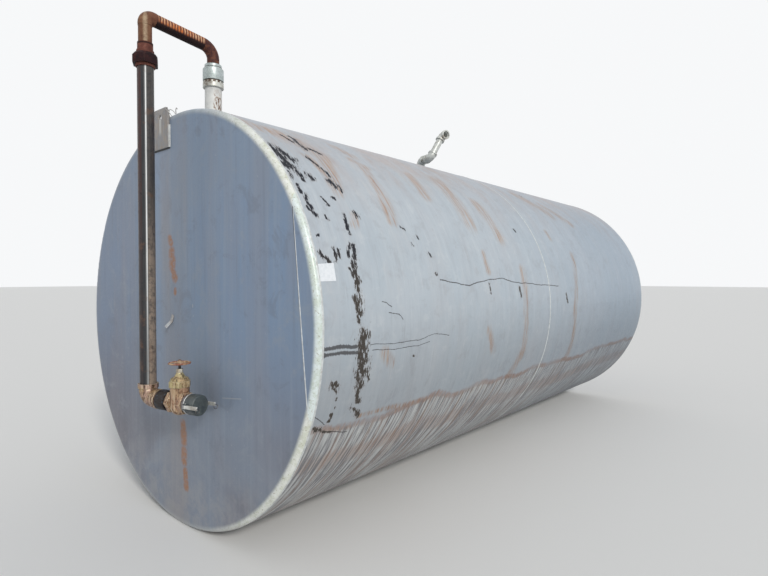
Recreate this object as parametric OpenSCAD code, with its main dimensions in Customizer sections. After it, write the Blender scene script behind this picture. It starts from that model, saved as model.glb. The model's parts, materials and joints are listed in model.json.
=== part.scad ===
// Horizontal steel storage tank, 8 ft across, lying on its side on level ground.
// Flat flanged ends, one welded girth joint, a valve and riser pipe on the front end,
// a fill pipe over the top and a bent vent pipe at mid length.
// +Z is up and the tank's axis runs along Y, with the valve end at low Y.
// The origin is on the ground under the middle of everything.

/* [Tank] */
// Outer diameter of the shell
tank_d = 2438; // [1800:1:3200]
// Length over both flat ends
tank_len = 5130; // [4200:10:7000]
// Thickness of the shell plate
shell_t = 6.35; // [4.8:0.05:12]
// Thickness of the end plates
head_t = 6.35; // [4.8:0.05:12]
// Distance from the front end to the girth joint
course_len = 2498; // [1500:1:3000]
// Outer radius of the ends' rolled corner
knuckle_r = 22; // [14:1:40]
// Straight flange behind the rolled corner
flange_len = 8; // [2:1:60]
// Distance from the shell's side to the joint in each end plate
seam_inset = 119; // [60:1:500]
// Lean of that joint from upright
seam_lean = 6; // [0:1:45]

/* [Welds] */
// Height that the weld beads stand proud
weld_h = 2; // [1.5:0.1:4]
// Width of the strip along the bottom where the tank's weight has worn the ring welds flat
rest_w = 100; // [20:5:100]
// Width of the ring welds
ring_weld_w = 12; // [6:1:24]
// Width of the weld along the end plate's joint
seam_weld_w = 8; // [4:1:16]
// Leg of the fillet weld around a fitting
fillet_leg = 9; // [4:1:20]
// Leg of the fillet weld around the fill stub
stub_leg = 12; // [8:1:20]

/* [Lifting lug] */
// Width of the lug plate
lug_w = 190; // [120:1:260]
// Height of the lug plate
lug_h = 243; // [160:1:320]
// Thickness of the lug plate
lug_t = 12; // [8:0.5:25]
// Sideways place of the lug's middle
lug_x = -182; // [-400:1:-130]
// Height of the lug's top edge above the shell
lug_rise = 52; // [20:1:90]
// Diameter of the shackle hole
lug_hole_d = 30; // [16:1:45]
// Distance from the top edge to the hole
lug_hole_drop = 52; // [40:1:90]
// Corner chamfer at the top
lug_chamfer = 28; // [5:1:40]

/* [Fill pipe] */
// Distance of the fill stub behind the front end
fill_y = 240; // [160:1:400]
// Outer diameter of the fill stub
fill_d = 101.6; // [76:0.1:130]
// Wall of the fill stub
fill_wall = 5.7; // [3:0.1:9]
// Height of bare stub below the locking collar
fill_bare = 198; // [120:1:280]
// Outer diameter of the coupling on it
coupling_d = 125; // [112:0.5:160]
// Length of the coupling
coupling_len = 99; // [80:1:150]
// Length of the lower locking collar
collar_len = 36; // [20:1:60]
// Gap of bare thread between collar and coupling
thread_gap = 9; // [4:1:20]

/* [Overhead pipe] */
// Outer diameter of the overhead pipe
over_d = 73; // [60:0.1:90]
// Wall of the overhead pipe
over_wall = 5.2; // [3:0.1:8]
// Radius of the bend down into the coupling
bend_r = 78; // [60:1:120]
// Fall of the overhead pipe towards the coupling
over_fall = 5.8; // [0:0.1:10]
// Height of the bend's lower end above the coupling
bend_stub = 34; // [4:1:40]
// Length of each leg of the mitred elbow over the riser
corner_leg = 56; // [50:1:90]
// Outer diameter of that elbow
corner_d = 76; // [74:0.5:90]

/* [Riser] */
// Distance of the riser in front of the front end
riser_out = 185; // [150:1:320]
// Outer diameter of the riser
riser_d = 88.9; // [73:0.1:102]
// Wall of the riser
riser_wall = 5.5; // [3:0.1:8]
// Height of the valve line above the shell's lowest point
run_h = 788; // [500:1:1100]
// Bare pipe between the union and the elbow over it
upper_bare = 96; // [20:1:300]
// Height of the union's nut and collars
union_h = 100; // [90:1:180]
// Height of the narrower neck on top of it
union_neck_h = 36; // [10:1:60]
// Outer diameter of that neck
union_neck_d = 83; // [78:0.5:90]
// Width of the union nut across its corners
union_nut_w = 146; // [125:1:160]
// Outer diameter of the union's lower collar
union_low_d = 104; // [95:0.5:125]
// Outer diameter of the union's upper collar
union_up_d = 94; // [84:0.5:110]

/* [Valve line] */
// Turn of the valve line from the tank's width towards the front end
run_clock = 12; // [0:1:20]
// Distance from the riser to the brass elbow's face
elbow_reach = 104; // [84:1:130]
// Height of the brass elbow's upper face above the valve line
elbow_rise = 80; // [72:1:100]
// Outer diameter of the brass elbow's bands
elbow_band_d = 110; // [102:0.5:130]
// Outer diameter of the brass elbow's body
elbow_d = 100; // [94:0.5:118]
// Depth of a thread in a fitting
socket = 24; // [14:1:34]
// Bare pipe between elbow and coupling
run_gap = 10; // [4:1:40]
// Outer diameter of the black coupling
run_coupling_d = 112; // [100:0.5:130]
// Length of the black coupling
run_coupling_len = 70; // [60:1:110]
// Bare pipe between coupling and valve
valve_gap = 14; // [4:1:40]

/* [Gate valve] */
// End to end length of the valve
valve_len = 120; // [100:1:180]
// Width of its end hexagons across flats
valve_hex = 106; // [100:0.5:130]
// Width of the body below the bonnet
valve_body_d = 102; // [90:1:110]
// Height from the valve's centre line to the bonnet joint
bonnet_z = 86; // [70:1:110]
// Width of the bonnet hexagon across flats
bonnet_hex = 106; // [90:1:120]
// Height of the bonnet's hexagon band
bonnet_band = 33; // [20:1:44]
// Height of the bonnet's round shoulder
bonnet_ring = 18; // [10:1:30]
// Height of the bonnet's neck above the shoulder
bonnet_neck = 26; // [20:1:50]
// Height of the packing nut
packing_h = 20; // [12:1:36]
// Width of the packing nut across flats
packing_hex = 32; // [26:1:44]
// Diameter of the valve stem
stem_d = 14; // [10:0.5:20]
// Height of bare stem below the handwheel
stem_gap = 20; // [8:1:40]
// Outer diameter of the handwheel
wheel_d = 122; // [90:1:180]
// Thickness of the handwheel's rim
wheel_rim = 13; // [8:0.5:20]
// Diameter of the handwheel's hub
wheel_hub = 30; // [24:1:40]
// Width of a handwheel spoke
spoke_w = 11; // [6:0.5:16]
// Number of handwheel spokes
spokes = 5; // [3:1:6]

/* [Hose end] */
// Outer diameter of the hose adapter's body
adapter_d = 98; // [92:0.5:120]
// Length of the adapter's grip band
adapter_band = 32; // [10:1:50]
// Outer diameter of the dust cap
cap_d = 112; // [110:0.5:140]
// Length of the dust cap
cap_len = 66; // [50:1:100]
// Wall of the dust cap
cap_wall = 7; // [4:0.5:9]
// Length of a cam arm
arm_len = 86; // [45:1:100]
// Height of a cam arm
arm_h = 19; // [12:1:26]
// Thickness of a cam arm
arm_t = 8; // [5:0.5:12]
// Diameter of a cam arm's pin
pin_d = 8; // [5:0.5:10]
// Outer diameter of a pull ring
ring_d = 28; // [20:1:40]
// Wire thickness of a pull ring
ring_wire = 3; // [2:0.1:5]

/* [Vent] */
// Distance of the vent in front of the girth joint
vent_lead = 105; // [60:1:900]
// Outer diameter of the vent's welded socket
bung_d = 78; // [70:0.5:90]
// Height of that socket
bung_h = 42; // [30:1:60]
// Outer diameter of the vent pipe
vent_d = 60.3; // [48:0.1:66]
// Wall of the vent pipe
vent_wall = 3.9; // [2.5:0.1:6]
// Height of the short nipple between the elbows, above the shell
vent_rise = 109; // [100:1:160]
// Distance between the axes of the two lower elbows
vent_run = 152; // [130:1:220]
// Heading of that nipple, from the tank's width
vent_heading = -18; // [-60:1:60]
// Lean of the vent pipe from upright, about the nipple
vent_lean = 32; // [0:1:80]
// Length of bare vent pipe
vent_len = 145; // [60:1:260]
// Distance from the middle of an elbow to its face
vent_reach = 57; // [54:1:66]
// Outer diameter of the elbows' bodies
vent_elbow_d = 72; // [68:0.5:76]
// Outer diameter of the elbows' bands
vent_band_d = 82; // [77:0.5:92]

/* [Head clip] */
// Height of the broken clip above the shell's lowest point
clip_z = 1204; // [900:1:1500]
// Sideways place of the broken clip
clip_x = -80; // [-300:1:300]
// Length of the broken clip
clip_len = 92; // [40:1:130]

/* [Hidden] */
$fn = 96;

// Radial play between a pipe and the socket that it screws into
play = 0.3;
// Small sizes that belong to the pieces named
clip_w = 24;
clip_t = 4;
clip_turn = 25;
clip_bend = 35;
neck_d = 36;
stem_end_d = 10;
wheel_hub_h = 22;
wheel_nut_h = 7;
wheel_nut_w = 17;
// Distance of the cam pins behind the mouth of the cap, and out from its side
pin_back = 20;
pin_out = 5;
ear_t = 7;
edge_r = 8;
arm_lift = 2;
vent_band = 16;
vent_seat = 14;
tank_r = tank_d / 2;
seam_offset = tank_r - seam_inset;
// Height of the tank's axis: the worn strip of the ring welds is what touches the ground
weld_r = tank_r + weld_h;
axis_z = sqrt(weld_r * weld_r - rest_w * rest_w / 4);
shell_foot_z = axis_z - tank_r;
// How far the widest piece of the riser stands in front of the front end
front_reach = riser_out + union_nut_w / 2;
// Place of the front end along Y, so that the origin is in the middle of everything: the
// weld bead on the rear end is what reaches furthest back
front_y = -(tank_len + weld_h - front_reach) / 2;
rear_y = front_y + tank_len;
shell_edge = knuckle_r + flange_len;
riser_y = front_y - riser_out;
top_z = axis_z + tank_r;
vent_y = course_len - vent_lead;

// Children drawn around Z are laid along the tank, from distance y behind the front end
module along_tank(y) {
  translate([0, front_y + y, axis_z]) rotate([-90, 0, 0]) children();
}

// The solid round outline of the tank, used to shape what stands on it
module tank_round() {
  along_tank(0) cylinder(h = tank_len, r = tank_r, $fn = 1440);
}

module tube(d, wall, h) {
  difference() {
    cylinder(h = h, d = d);
    translate([0, 0, -1]) cylinder(h = h + 2, d = d - 2 * wall);
  }
}

module pipe_ring(d, wall) {
  difference() {
    circle(d = d);
    circle(d = d - 2 * wall);
  }
}

// A weld bead's profile: a low crown on a flat or round face
module bead_profile(w) {
  shoulder = weld_h * 0.75;
  polygon([[0, -w / 2], [shoulder, -w / 4], [weld_h, 0], [shoulder, w / 4], [0, w / 2]]);
}

// A bead around the tank, worn flat where it stands on the ground
module ring_weld(y) {
  difference() {
    along_tank(y) rotate_extrude($fn = 360) translate([tank_r, 0]) bead_profile(ring_weld_w);
    translate([-rest_w, front_y + y - ring_weld_w, -tank_r]) cube([2 * rest_w, 2 * ring_weld_w, tank_r]);
  }
}

// Shell courses, with the holes that the fill stub and the vent open into
module course(y0, y1) {
  along_tank(y0) difference() {
    cylinder(h = y1 - y0, r = tank_r, $fn = 360);
    translate([0, 0, -1]) cylinder(h = y1 - y0 + 2, r = tank_r - shell_t, $fn = 360);
  }
}

module hole_in_top(y, d) {
  translate([0, front_y + y, axis_z]) cylinder(h = tank_d, d = d);
}

module front_shell() {
  color("lightgray") difference() {
    course(shell_edge, course_len);
    hole_in_top(fill_y, fill_d - 2 * fill_wall);
    hole_in_top(vent_y, vent_d - 2 * vent_wall);
  }
}

module rear_shell() {
  color("lightgray") course(course_len, tank_len - shell_edge);
}

// Welds around the tank: at both ends and at the girth joint
module ring_welds() {
  color("silver") for (y = [shell_edge, course_len, tank_len - shell_edge])
    ring_weld(y);
}

// Flat end: a disc whose edge is rolled into a short flange, drawn with its face at z = 0
module flanged_disc() {
  rotate_extrude($fn = 360) {
    square([tank_r - knuckle_r, head_t]);
    translate([tank_r - knuckle_r, knuckle_r]) difference() {
      intersection() {
        circle(r = knuckle_r, $fn = 96);
        translate([0, -knuckle_r]) square([knuckle_r, knuckle_r]);
      }
      circle(r = knuckle_r - head_t, $fn = 96);
    }
    translate([tank_r - head_t, knuckle_r]) square([head_t, flange_len]);
  }
}

// The half space beyond the joint in an end plate
module beyond_seam() {
  rotate([0, 0, seam_lean]) translate([seam_offset, -tank_r, -1])
    cube([tank_r, tank_d, shell_edge + 2]);
}

// Children drawn with the face at z = 0 are set as the front or rear end, as seen from the front
module as_front() {
  translate([0, front_y, axis_z]) rotate([-90, 0, 0]) mirror([0, 1, 0]) children();
}

module as_rear() {
  translate([0, rear_y, axis_z]) rotate([90, 0, 0]) children();
}

module end_main() {
  difference() {
    flanged_disc();
    beyond_seam();
  }
}

module end_segment() {
  intersection() {
    flanged_disc();
    beyond_seam();
  }
}

// Weld over the joint, on the flat of the plate
module end_seam() {
  flat_r = tank_r - knuckle_r;
  half = sqrt(flat_r * flat_r - seam_offset * seam_offset) - seam_weld_w;
  rotate([0, 0, seam_lean]) translate([seam_offset, half, 0]) rotate([90, 0, 0])
    linear_extrude(height = 2 * half) rotate([0, 0, -90]) bead_profile(seam_weld_w);
}

module front_head() {
  color("slategray") as_front() end_main();
}

module front_head_segment() {
  color("slategray") as_front() end_segment();
}

module rear_head() {
  color("slategray") as_rear() end_main();
}

module rear_head_segment() {
  color("slategray") as_rear() end_segment();
}

// Welds over the joints in both ends
module head_seams() {
  color("silver") {
    as_front() end_seam();
    as_rear() end_seam();
  }
}

// Lug plate on the front end, seen from the front, with its foot at the origin
module lug_outline() {
  half = lug_w / 2;
  polygon([[-half, 0], [half, 0], [half, lug_h - lug_chamfer], [half - lug_chamfer, lug_h],
           [lug_chamfer - half, lug_h], [-half, lug_h - lug_chamfer]]);
}

lug_foot_z = top_z + lug_rise - lug_h;

module lifting_lug() {
  color("slategray") translate([lug_x, front_y, lug_foot_z]) rotate([90, 0, 0])
    linear_extrude(height = lug_t) difference() {
      lug_outline();
      translate([0, lug_h - lug_hole_drop]) circle(d = lug_hole_d);
    }
}

module fillet_profile(leg = fillet_leg) {
  polygon([[0, 0], [leg, 0], [0, leg]]);
}

// Fillet welds down both sides of the lug and along its foot
module lug_weld() {
  flat_r = tank_r - knuckle_r;
  reach = abs(lug_x) + lug_w / 2 + fillet_leg;
  side_h = axis_z + sqrt(flat_r * flat_r - reach * reach) - lug_foot_z;
  color("silver") translate([lug_x, front_y, lug_foot_z]) {
    for (side = [-1, 1])
      translate([side * lug_w / 2, 0, 0]) on_side(side)
        linear_extrude(height = side_h) mirror([0, 1]) fillet_profile();
    translate([-lug_w / 2, 0, 0]) rotate([90, 0, 90])
      linear_extrude(height = lug_w) rotate([0, 0, 180]) fillet_profile();
  }
}

// Children are drawn for the right side, and mirrored for the left
module on_side(side) {
  mirror([side < 0 ? 1 : 0, 0, 0]) children();
}

// Broken flat strip: its root lies on the end plate and its tip is bent out
module head_clip() {
  root = clip_len * 0.45;
  tip = clip_len - root;
  out = [sin(clip_bend), -cos(clip_bend)];
  face = [cos(clip_bend), sin(clip_bend)];
  outline = [[0, root], [0, 0], tip * out, tip * out + clip_t * face,
             [clip_t, clip_t * tan(clip_bend / 2)], [clip_t, root]];
  color("silver") translate([clip_x, front_y, clip_z + shell_foot_z]) rotate([0, clip_turn, 0])
    rotate([90, 0, -90]) linear_extrude(height = clip_w, center = true) polygon(outline);
}

// Heights of the fill line, from the shell's top upwards
collar_z = top_z + fill_bare;
coupling_z = collar_z + collar_len + thread_gap;
stub_top_z = coupling_z + socket;
coupling_top_z = coupling_z + coupling_len;
fill_axis_y = front_y + fill_y;

module fill_stub() {
  sunk = weld_h;
  color("whitesmoke") difference() {
    translate([0, fill_axis_y, top_z - sunk]) tube(fill_d, fill_wall, stub_top_z - top_z + sunk);
    tank_round();
  }
}

module saddle_weld(y, d, leg) {
  difference() {
    translate([0, front_y + y, top_z - leg / 2])
      cylinder(h = leg * 1.5, d1 = d + 3 * leg, d2 = d + 0.2, $fn = 360);
    translate([0, front_y + y, top_z - leg]) cylinder(h = leg * 3, d = d, $fn = 360);
    tank_round();
  }
}

module fill_stub_weld() {
  color("whitesmoke") saddle_weld(fill_y, fill_d, stub_leg);
}

module fill_collar() {
  color("gainsboro") translate([0, fill_axis_y, collar_z])
    tube(coupling_d, (coupling_d - fill_d) / 2 - play, collar_len);
}

// Straight coupling with a socket at each end and a narrower lip on top
module fill_coupling() {
  lip_d = over_d + 30;
  lip_h = 20;
  taper_h = 8;
  color("silver") translate([0, fill_axis_y, coupling_z]) difference() {
    union() {
      cylinder(h = coupling_len - lip_h - taper_h, d = coupling_d);
      translate([0, 0, coupling_len - lip_h - taper_h])
        cylinder(h = taper_h, d1 = coupling_d, d2 = lip_d);
      translate([0, 0, coupling_len - lip_h]) cylinder(h = lip_h, d = lip_d);
    }
    translate([0, 0, -1]) cylinder(h = socket + 1, d = fill_d + 2 * play);
    cylinder(h = coupling_len, d = over_d - 2 * over_wall);
    translate([0, 0, coupling_len - socket]) cylinder(h = socket + 1, d = over_d + 2 * play);
  }
}

// The overhead pipe lies in the plane of the riser and the fill stub. Here X is along
// the tank and Y is up; the riser's axis is at -riser_out and the stub's at fill_y.
bend_z = coupling_top_z + bend_stub;
bend_end = [fill_y - bend_r * (1 - sin(over_fall)), bend_z + bend_r * cos(over_fall)];
corner_z = bend_end[1] + (bend_end[0] + riser_out) * tan(over_fall);
over_run = (bend_end[0] + riser_out) / cos(over_fall) - corner_leg;

module middle_plane() {
  translate([0, front_y, 0]) rotate([90, 0, 90]) children();
}

// Solid bend that leaves (r, 0) upwards and turns towards -X
module bend(r, d, turn) {
  rotate_extrude(angle = turn) translate([r, 0]) circle(d = d);
}

module overhead_bend() {
  foot = coupling_top_z - socket;
  color("sienna") middle_plane() {
    translate([fill_y, foot]) rotate([-90, 0, 0]) tube(over_d, over_wall, bend_z - foot);
    translate([fill_y - bend_r, bend_z]) rotate_extrude(angle = 90 - over_fall)
      translate([bend_r, 0]) pipe_ring(over_d, over_wall);
  }
}

module overhead_run() {
  color("sienna") middle_plane() translate([bend_end[0], bend_end[1]]) rotate([0, 0, 90 - over_fall])
    rotate([-90, 0, 0]) tube(over_d, over_wall, over_run);
}

mitre = 45 + over_fall / 2;

// One leg of the mitred elbow: it comes up to the corner at the origin, and ends on the mitre
module mitred_leg() {
  difference() {
    translate([0, -corner_leg, 0]) rotate([-90, 0, 0]) difference() {
      cylinder(h = corner_leg + corner_d, d = corner_d);
      translate([0, 0, -1]) cylinder(h = corner_leg + corner_d + 2, d = over_d - 2 * over_wall);
    }
    rotate([0, 0, -mitre]) translate([-2 * corner_d, 0, -corner_d])
      cube([4 * corner_d, 4 * corner_d, 2 * corner_d]);
  }
}

module top_elbow() {
  color("saddlebrown") middle_plane() translate([-riser_out, corner_z]) {
    mitred_leg();
    mirror([sin(mitre), cos(mitre), 0]) mitred_leg();
  }
}

// Union: two collars drawn together by a nut
union_top_z = corner_z - corner_leg - upper_bare;
union_foot_z = union_top_z - union_neck_h - union_h;
seat_h = union_h * 0.48;
nut_foot = union_h * 0.14;
nut_h = union_h * 0.6;
flange_h = union_h * 0.12;
dome_edge = 12;

module on_riser(z) {
  translate([0, riser_y, z]) children();
}

module union_lower() {
  color("firebrick") on_riser(union_foot_z) difference() {
    cylinder(h = seat_h, d = union_low_d);
    translate([0, 0, -1]) cylinder(h = seat_h + 2, d = riser_d - 2 * riser_wall);
    translate([0, 0, -1]) cylinder(h = socket + 1, d = riser_d + 2 * play);
  }
}

module union_upper() {
  collar_h = union_h - seat_h;
  whole_h = collar_h + union_neck_h;
  color("firebrick") on_riser(union_foot_z + seat_h) difference() {
    union() {
      cylinder(h = flange_h, d = union_low_d);
      cylinder(h = collar_h - dome_edge, d = union_up_d);
      translate([0, 0, collar_h - dome_edge]) rotate_extrude() intersection() {
        translate([union_up_d / 2 - dome_edge, 0]) circle(r = dome_edge);
        translate([union_up_d / 2 - dome_edge, 0]) square(dome_edge);
      }
      cylinder(h = collar_h, d = union_up_d - 2 * dome_edge);
      cylinder(h = whole_h, d = union_neck_d);
    }
    translate([0, 0, -1]) cylinder(h = whole_h, d = over_d - 2 * over_wall);
    translate([0, 0, whole_h - socket]) cylinder(h = socket + 1, d = over_d + 2 * play);
  }
}

module union_nut() {
  shoulder = seat_h + flange_h - nut_foot;
  color("firebrick") on_riser(union_foot_z + nut_foot) difference() {
    intersection() {
      rotate([0, 0, 90]) cylinder(h = nut_h, d = union_nut_w, $fn = 6);
      cylinder(h = nut_h, d1 = union_nut_w + nut_h, d2 = union_up_d + 20);
    }
    translate([0, 0, -1]) cylinder(h = shoulder + 1, d = union_low_d + 2 * play);
    translate([0, 0, -1]) cylinder(h = nut_h + 2, d = union_up_d + 2 * play);
  }
}

// Height of the valve line's axis, and the radius of a brass elbow's bend
run_z = run_h + shell_foot_z;
elbow_r = elbow_rise - socket;
elbow_neck = elbow_reach - socket;

module riser_pipe() {
  foot = run_z + elbow_r;
  color("dimgray") on_riser(foot) tube(riser_d, riser_wall, union_foot_z + socket - foot);
}

module upper_leg() {
  foot = union_top_z - socket;
  color("saddlebrown") on_riser(foot) tube(over_d, over_wall, corner_z - corner_leg - foot);
}

// The valve line: X runs outward along it from the riser's axis and Z is up
module valve_line() {
  translate([0, riser_y, run_z]) rotate([0, 0, run_clock]) children();
}

// Children drawn around Z are laid along the valve line from distance x
module along_line(x) {
  valve_line() translate([x, 0, 0]) rotate([0, 90, 0]) children();
}

module bottom_elbow() {
  bore = riser_d - 2 * riser_wall;
  color("darkgoldenrod") valve_line() difference() {
    union() {
      translate([elbow_r, 0, elbow_r]) rotate([90, 0, 0]) rotate([0, 0, 180]) bend(elbow_r, elbow_d, 90);
      translate([0, 0, elbow_r]) cylinder(h = socket, d = elbow_band_d);
      translate([elbow_r, 0, 0]) rotate([0, 90, 0]) cylinder(h = elbow_neck - elbow_r, d = elbow_d);
      translate([elbow_neck, 0, 0]) rotate([0, 90, 0]) cylinder(h = socket, d = elbow_band_d);
    }
    translate([elbow_r, 0, elbow_r]) rotate([90, 0, 0]) rotate([0, 0, 180]) bend(elbow_r, bore, 90);
    translate([elbow_r, 0, 0]) rotate([0, 90, 0]) cylinder(h = elbow_reach, d = bore);
    translate([0, 0, elbow_r]) cylinder(h = socket + 1, d = riser_d + 2 * play);
    translate([elbow_neck, 0, 0]) rotate([0, 90, 0]) cylinder(h = socket + 1, d = riser_d + 2 * play);
  }
}

// Places along the valve line
coupling_x = elbow_reach + run_gap;
coupling_end = coupling_x + run_coupling_len;
valve_x0 = coupling_end + valve_gap;
valve_x = valve_x0 + valve_len / 2;
valve_x1 = valve_x0 + valve_len;

// Short threaded pipes on either side of the black coupling
module line_nipples() {
  color("dimgray") for (x = [[elbow_neck, coupling_x + socket], [coupling_end - socket, valve_x0 + socket]])
    along_line(x[0]) tube(riser_d, riser_wall, x[1] - x[0]);
}

module line_coupling() {
  color("dimgray") along_line(coupling_x) difference() {
    cylinder(h = run_coupling_len, d = run_coupling_d);
    translate([0, 0, -1]) cylinder(h = run_coupling_len + 2, d = riser_d - 2 * riser_wall);
    translate([0, 0, -1]) cylinder(h = socket + 1, d = riser_d + 2 * play);
    translate([0, 0, run_coupling_len - socket]) cylinder(h = socket + 1, d = riser_d + 2 * play);
  }
}

// Gate valve body: a hexagon at each end, a barrel between them and an upright bowl
module valve_body() {
  hex_len = socket;
  bowl_z = -18;
  color("darkgoldenrod") difference() {
    union() {
      for (x = [valve_x0, valve_x1 - hex_len])
        along_line(x) rotate([0, 0, 30]) cylinder(h = hex_len, d = valve_hex / cos(30), $fn = 6);
      along_line(valve_x0) cylinder(h = valve_len, d = valve_hex - 12);
      valve_line() translate([valve_x, 0, bowl_z]) {
        cylinder(h = bonnet_z - bowl_z, d = valve_body_d);
        sphere(d = valve_body_d);
      }
    }
    along_line(valve_x0 - 1) cylinder(h = socket + 1, d = riser_d + 2 * play);
    along_line(valve_x1 - socket) cylinder(h = socket + 1, d = riser_d + 2 * play);
  }
}

// Heights above the valve line's axis
neck_z = bonnet_z + bonnet_band;
packing_z = neck_z + bonnet_ring + bonnet_neck;
hub_z = packing_z + packing_h + stem_gap;
stem_foot = packing_z - 30;

module on_valve(z) {
  valve_line() translate([valve_x, 0, z]) children();
}

module valve_bonnet() {
  ring_r = bonnet_hex / 2 - 5;
  neck_r = neck_d / 2;
  neck_top = bonnet_ring + bonnet_neck;
  color("gold") on_valve(bonnet_z) difference() {
    union() {
      rotate([0, 0, 15]) cylinder(h = bonnet_band, d = bonnet_hex / cos(30), $fn = 6);
      translate([0, 0, bonnet_band]) rotate_extrude()
        polygon([[0, 0], [ring_r, 0], [ring_r, bonnet_ring * 0.6], [ring_r - 8, bonnet_ring],
                 [neck_r + 14, bonnet_ring], [neck_r + 4, bonnet_ring + bonnet_neck * 0.6],
                 [neck_r, neck_top - 3], [neck_r, neck_top], [0, neck_top]]);
    }
    translate([0, 0, stem_foot - bonnet_z]) cylinder(h = bonnet_band + neck_top, d = stem_d + 2 * play);
  }
}

module packing_nut() {
  color("gold") on_valve(packing_z) difference() {
    intersection() {
      cylinder(h = packing_h, d = packing_hex / cos(30), $fn = 6);
      cylinder(h = packing_h, d1 = packing_hex + 2 * packing_h, d2 = packing_hex - 2);
    }
    translate([0, 0, -1]) cylinder(h = packing_h + 2, d = stem_d + 2 * play);
  }
}

// Stem with a thinner end that the handwheel and its nut sit on
module valve_stem() {
  nut_top = hub_z + wheel_hub_h + wheel_nut_h;
  color("dimgray") {
    on_valve(stem_foot + play) cylinder(h = hub_z - stem_foot - play, d = stem_d);
    on_valve(hub_z) cylinder(h = nut_top - hub_z + 2, d = stem_end_d);
  }
}

module handwheel() {
  ring_r = (wheel_d - wheel_rim) / 2;
  color("indianred") on_valve(hub_z) difference() {
    union() {
      cylinder(h = wheel_hub_h, d = wheel_hub);
      translate([0, 0, wheel_hub_h / 2]) {
        rotate_extrude() translate([ring_r, 0]) circle(d = wheel_rim);
        for (i = [0 : spokes - 1])
          rotate([0, 90, i * 360 / spokes]) cylinder(h = ring_r, d = spoke_w);
      }
    }
    translate([0, 0, -1]) cylinder(h = wheel_hub_h + 2, d = stem_end_d + 2 * play);
  }
}

module wheel_nut() {
  color("dimgray") on_valve(hub_z + wheel_hub_h) difference() {
    cylinder(h = wheel_nut_h, d = wheel_nut_w / cos(30), $fn = 6);
    translate([0, 0, -1]) cylinder(h = wheel_nut_h + 2, d = stem_end_d + 2 * play);
  }
}

// Hose end: an adapter with a grooved nose, and a cap held on it by two cam arms
band_x = valve_x1;
cap_x = band_x + adapter_band;
nose_len = cap_len - cap_wall;
nose_d = cap_d - 2 * cap_wall - 2 * play;
groove_d = nose_d - 10;
arm_x = cap_x + pin_back;
arm_y = cap_d / 2 + pin_out;
lobe_r = 9;
lobe_in = 5;
sweep_r = lobe_r + lobe_in + 2;

module hose_adapter() {
  color("gray") along_line(valve_x1 - socket) difference() {
    union() {
      cylinder(h = socket, d = riser_d);
      translate([0, 0, socket]) cylinder(h = adapter_band, d = adapter_d);
      translate([0, 0, socket + adapter_band]) cylinder(h = nose_len, d = nose_d);
    }
    translate([0, 0, -1]) cylinder(h = socket + adapter_band + nose_len + 2, d = riser_d - 2 * riser_wall);
    translate([0, 0, socket + arm_x - band_x]) difference() {
      translate([0, 0, -10]) cylinder(h = 20, d = nose_d + 2);
      translate([0, 0, -11]) cylinder(h = 22, d = groove_d);
    }
  }
}

module dust_cap() {
  ear_gap = arm_h / 2 + play;
  color("darkslategray") difference() {
    union() {
      along_line(cap_x) rotate_extrude() {
        square([cap_d / 2, cap_len - edge_r]);
        square([cap_d / 2 - edge_r, cap_len]);
        translate([cap_d / 2 - edge_r, cap_len - edge_r]) circle(r = edge_r);
      }
      valve_line() for (side = [-1, 1], up = [-1, 1])
        translate([arm_x, side * (arm_y - pin_out / 2), up * (ear_gap + ear_t / 2)])
          cube([22, pin_out + 2 * pin_d, ear_t], center = true);
    }
    along_line(cap_x - 1) cylinder(h = nose_len + 1, d = nose_d + 2 * play);
    valve_line() {
      for (side = [-1, 1]) {
        translate([arm_x, side * arm_y, 0])
          cube([2 * sweep_r, 2 * sweep_r, 2 * ear_gap], center = true);
        translate([arm_x, side * arm_y, 0]) cylinder(h = cap_d, d = pin_d + 2 * play, center = true);
      }
    }
  }
}

module cam_pins() {
  pin_len = arm_h + 2 * ear_t + 4;
  color("silver") valve_line() for (side = [-1, 1])
    translate([arm_x, side * arm_y, 0]) cylinder(h = pin_len, d = pin_d, center = true);
}

// Cam arm, closed along the cap: drawn for the side away from the end plate
module cam_arm(side) {
  rest_y = cap_d / 2 + arm_lift - arm_y;
  valve_line() translate([arm_x, side * arm_y, -arm_h / 2]) mirror([0, side < 0 ? 1 : 0, 0])
    linear_extrude(height = arm_h) difference() {
      union() {
        circle(r = pin_d / 2 + 4);
        translate([0, -lobe_in]) circle(r = lobe_r);
        translate([0, rest_y]) square([arm_len, arm_t]);
        translate([arm_len, rest_y + arm_t / 2]) circle(d = arm_t);
      }
      circle(d = pin_d + 2 * play);
    }
}

module front_cam_arm() {
  color("silver") cam_arm(-1);
}

module rear_cam_arm() {
  color("silver") cam_arm(1);
}

module pull_ring(side) {
  ring_r = (ring_d - ring_wire) / 2;
  valve_line()
    translate([arm_x + arm_len + arm_t / 2 + ring_wire / 2, side * (cap_d / 2 + arm_lift + arm_t / 2), -ring_r])
      rotate([90, 0, 90]) rotate_extrude() translate([ring_r, 0]) circle(d = ring_wire, $fn = 24);
}

module front_pull_ring() {
  color("gray") pull_ring(-1);
}

module rear_pull_ring() {
  color("gray") pull_ring(1);
}

// Vent: a welded socket, two elbows that swing about a short nipple, a pipe that leans
// back and an open elbow on its end. Here the origin is on the shell and X is along the nipple.
module vent_frame() {
  translate([0, front_y + vent_y, top_z]) rotate([0, 0, vent_heading]) children();
}

// Children drawn upwards from the middle of the second elbow
module along_lean(h) {
  vent_frame() translate([vent_run, 0, vent_rise]) rotate([-vent_lean, 0, 0])
    translate([0, 0, h]) children();
}

vent_bore = vent_d - 2 * vent_wall;

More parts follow.
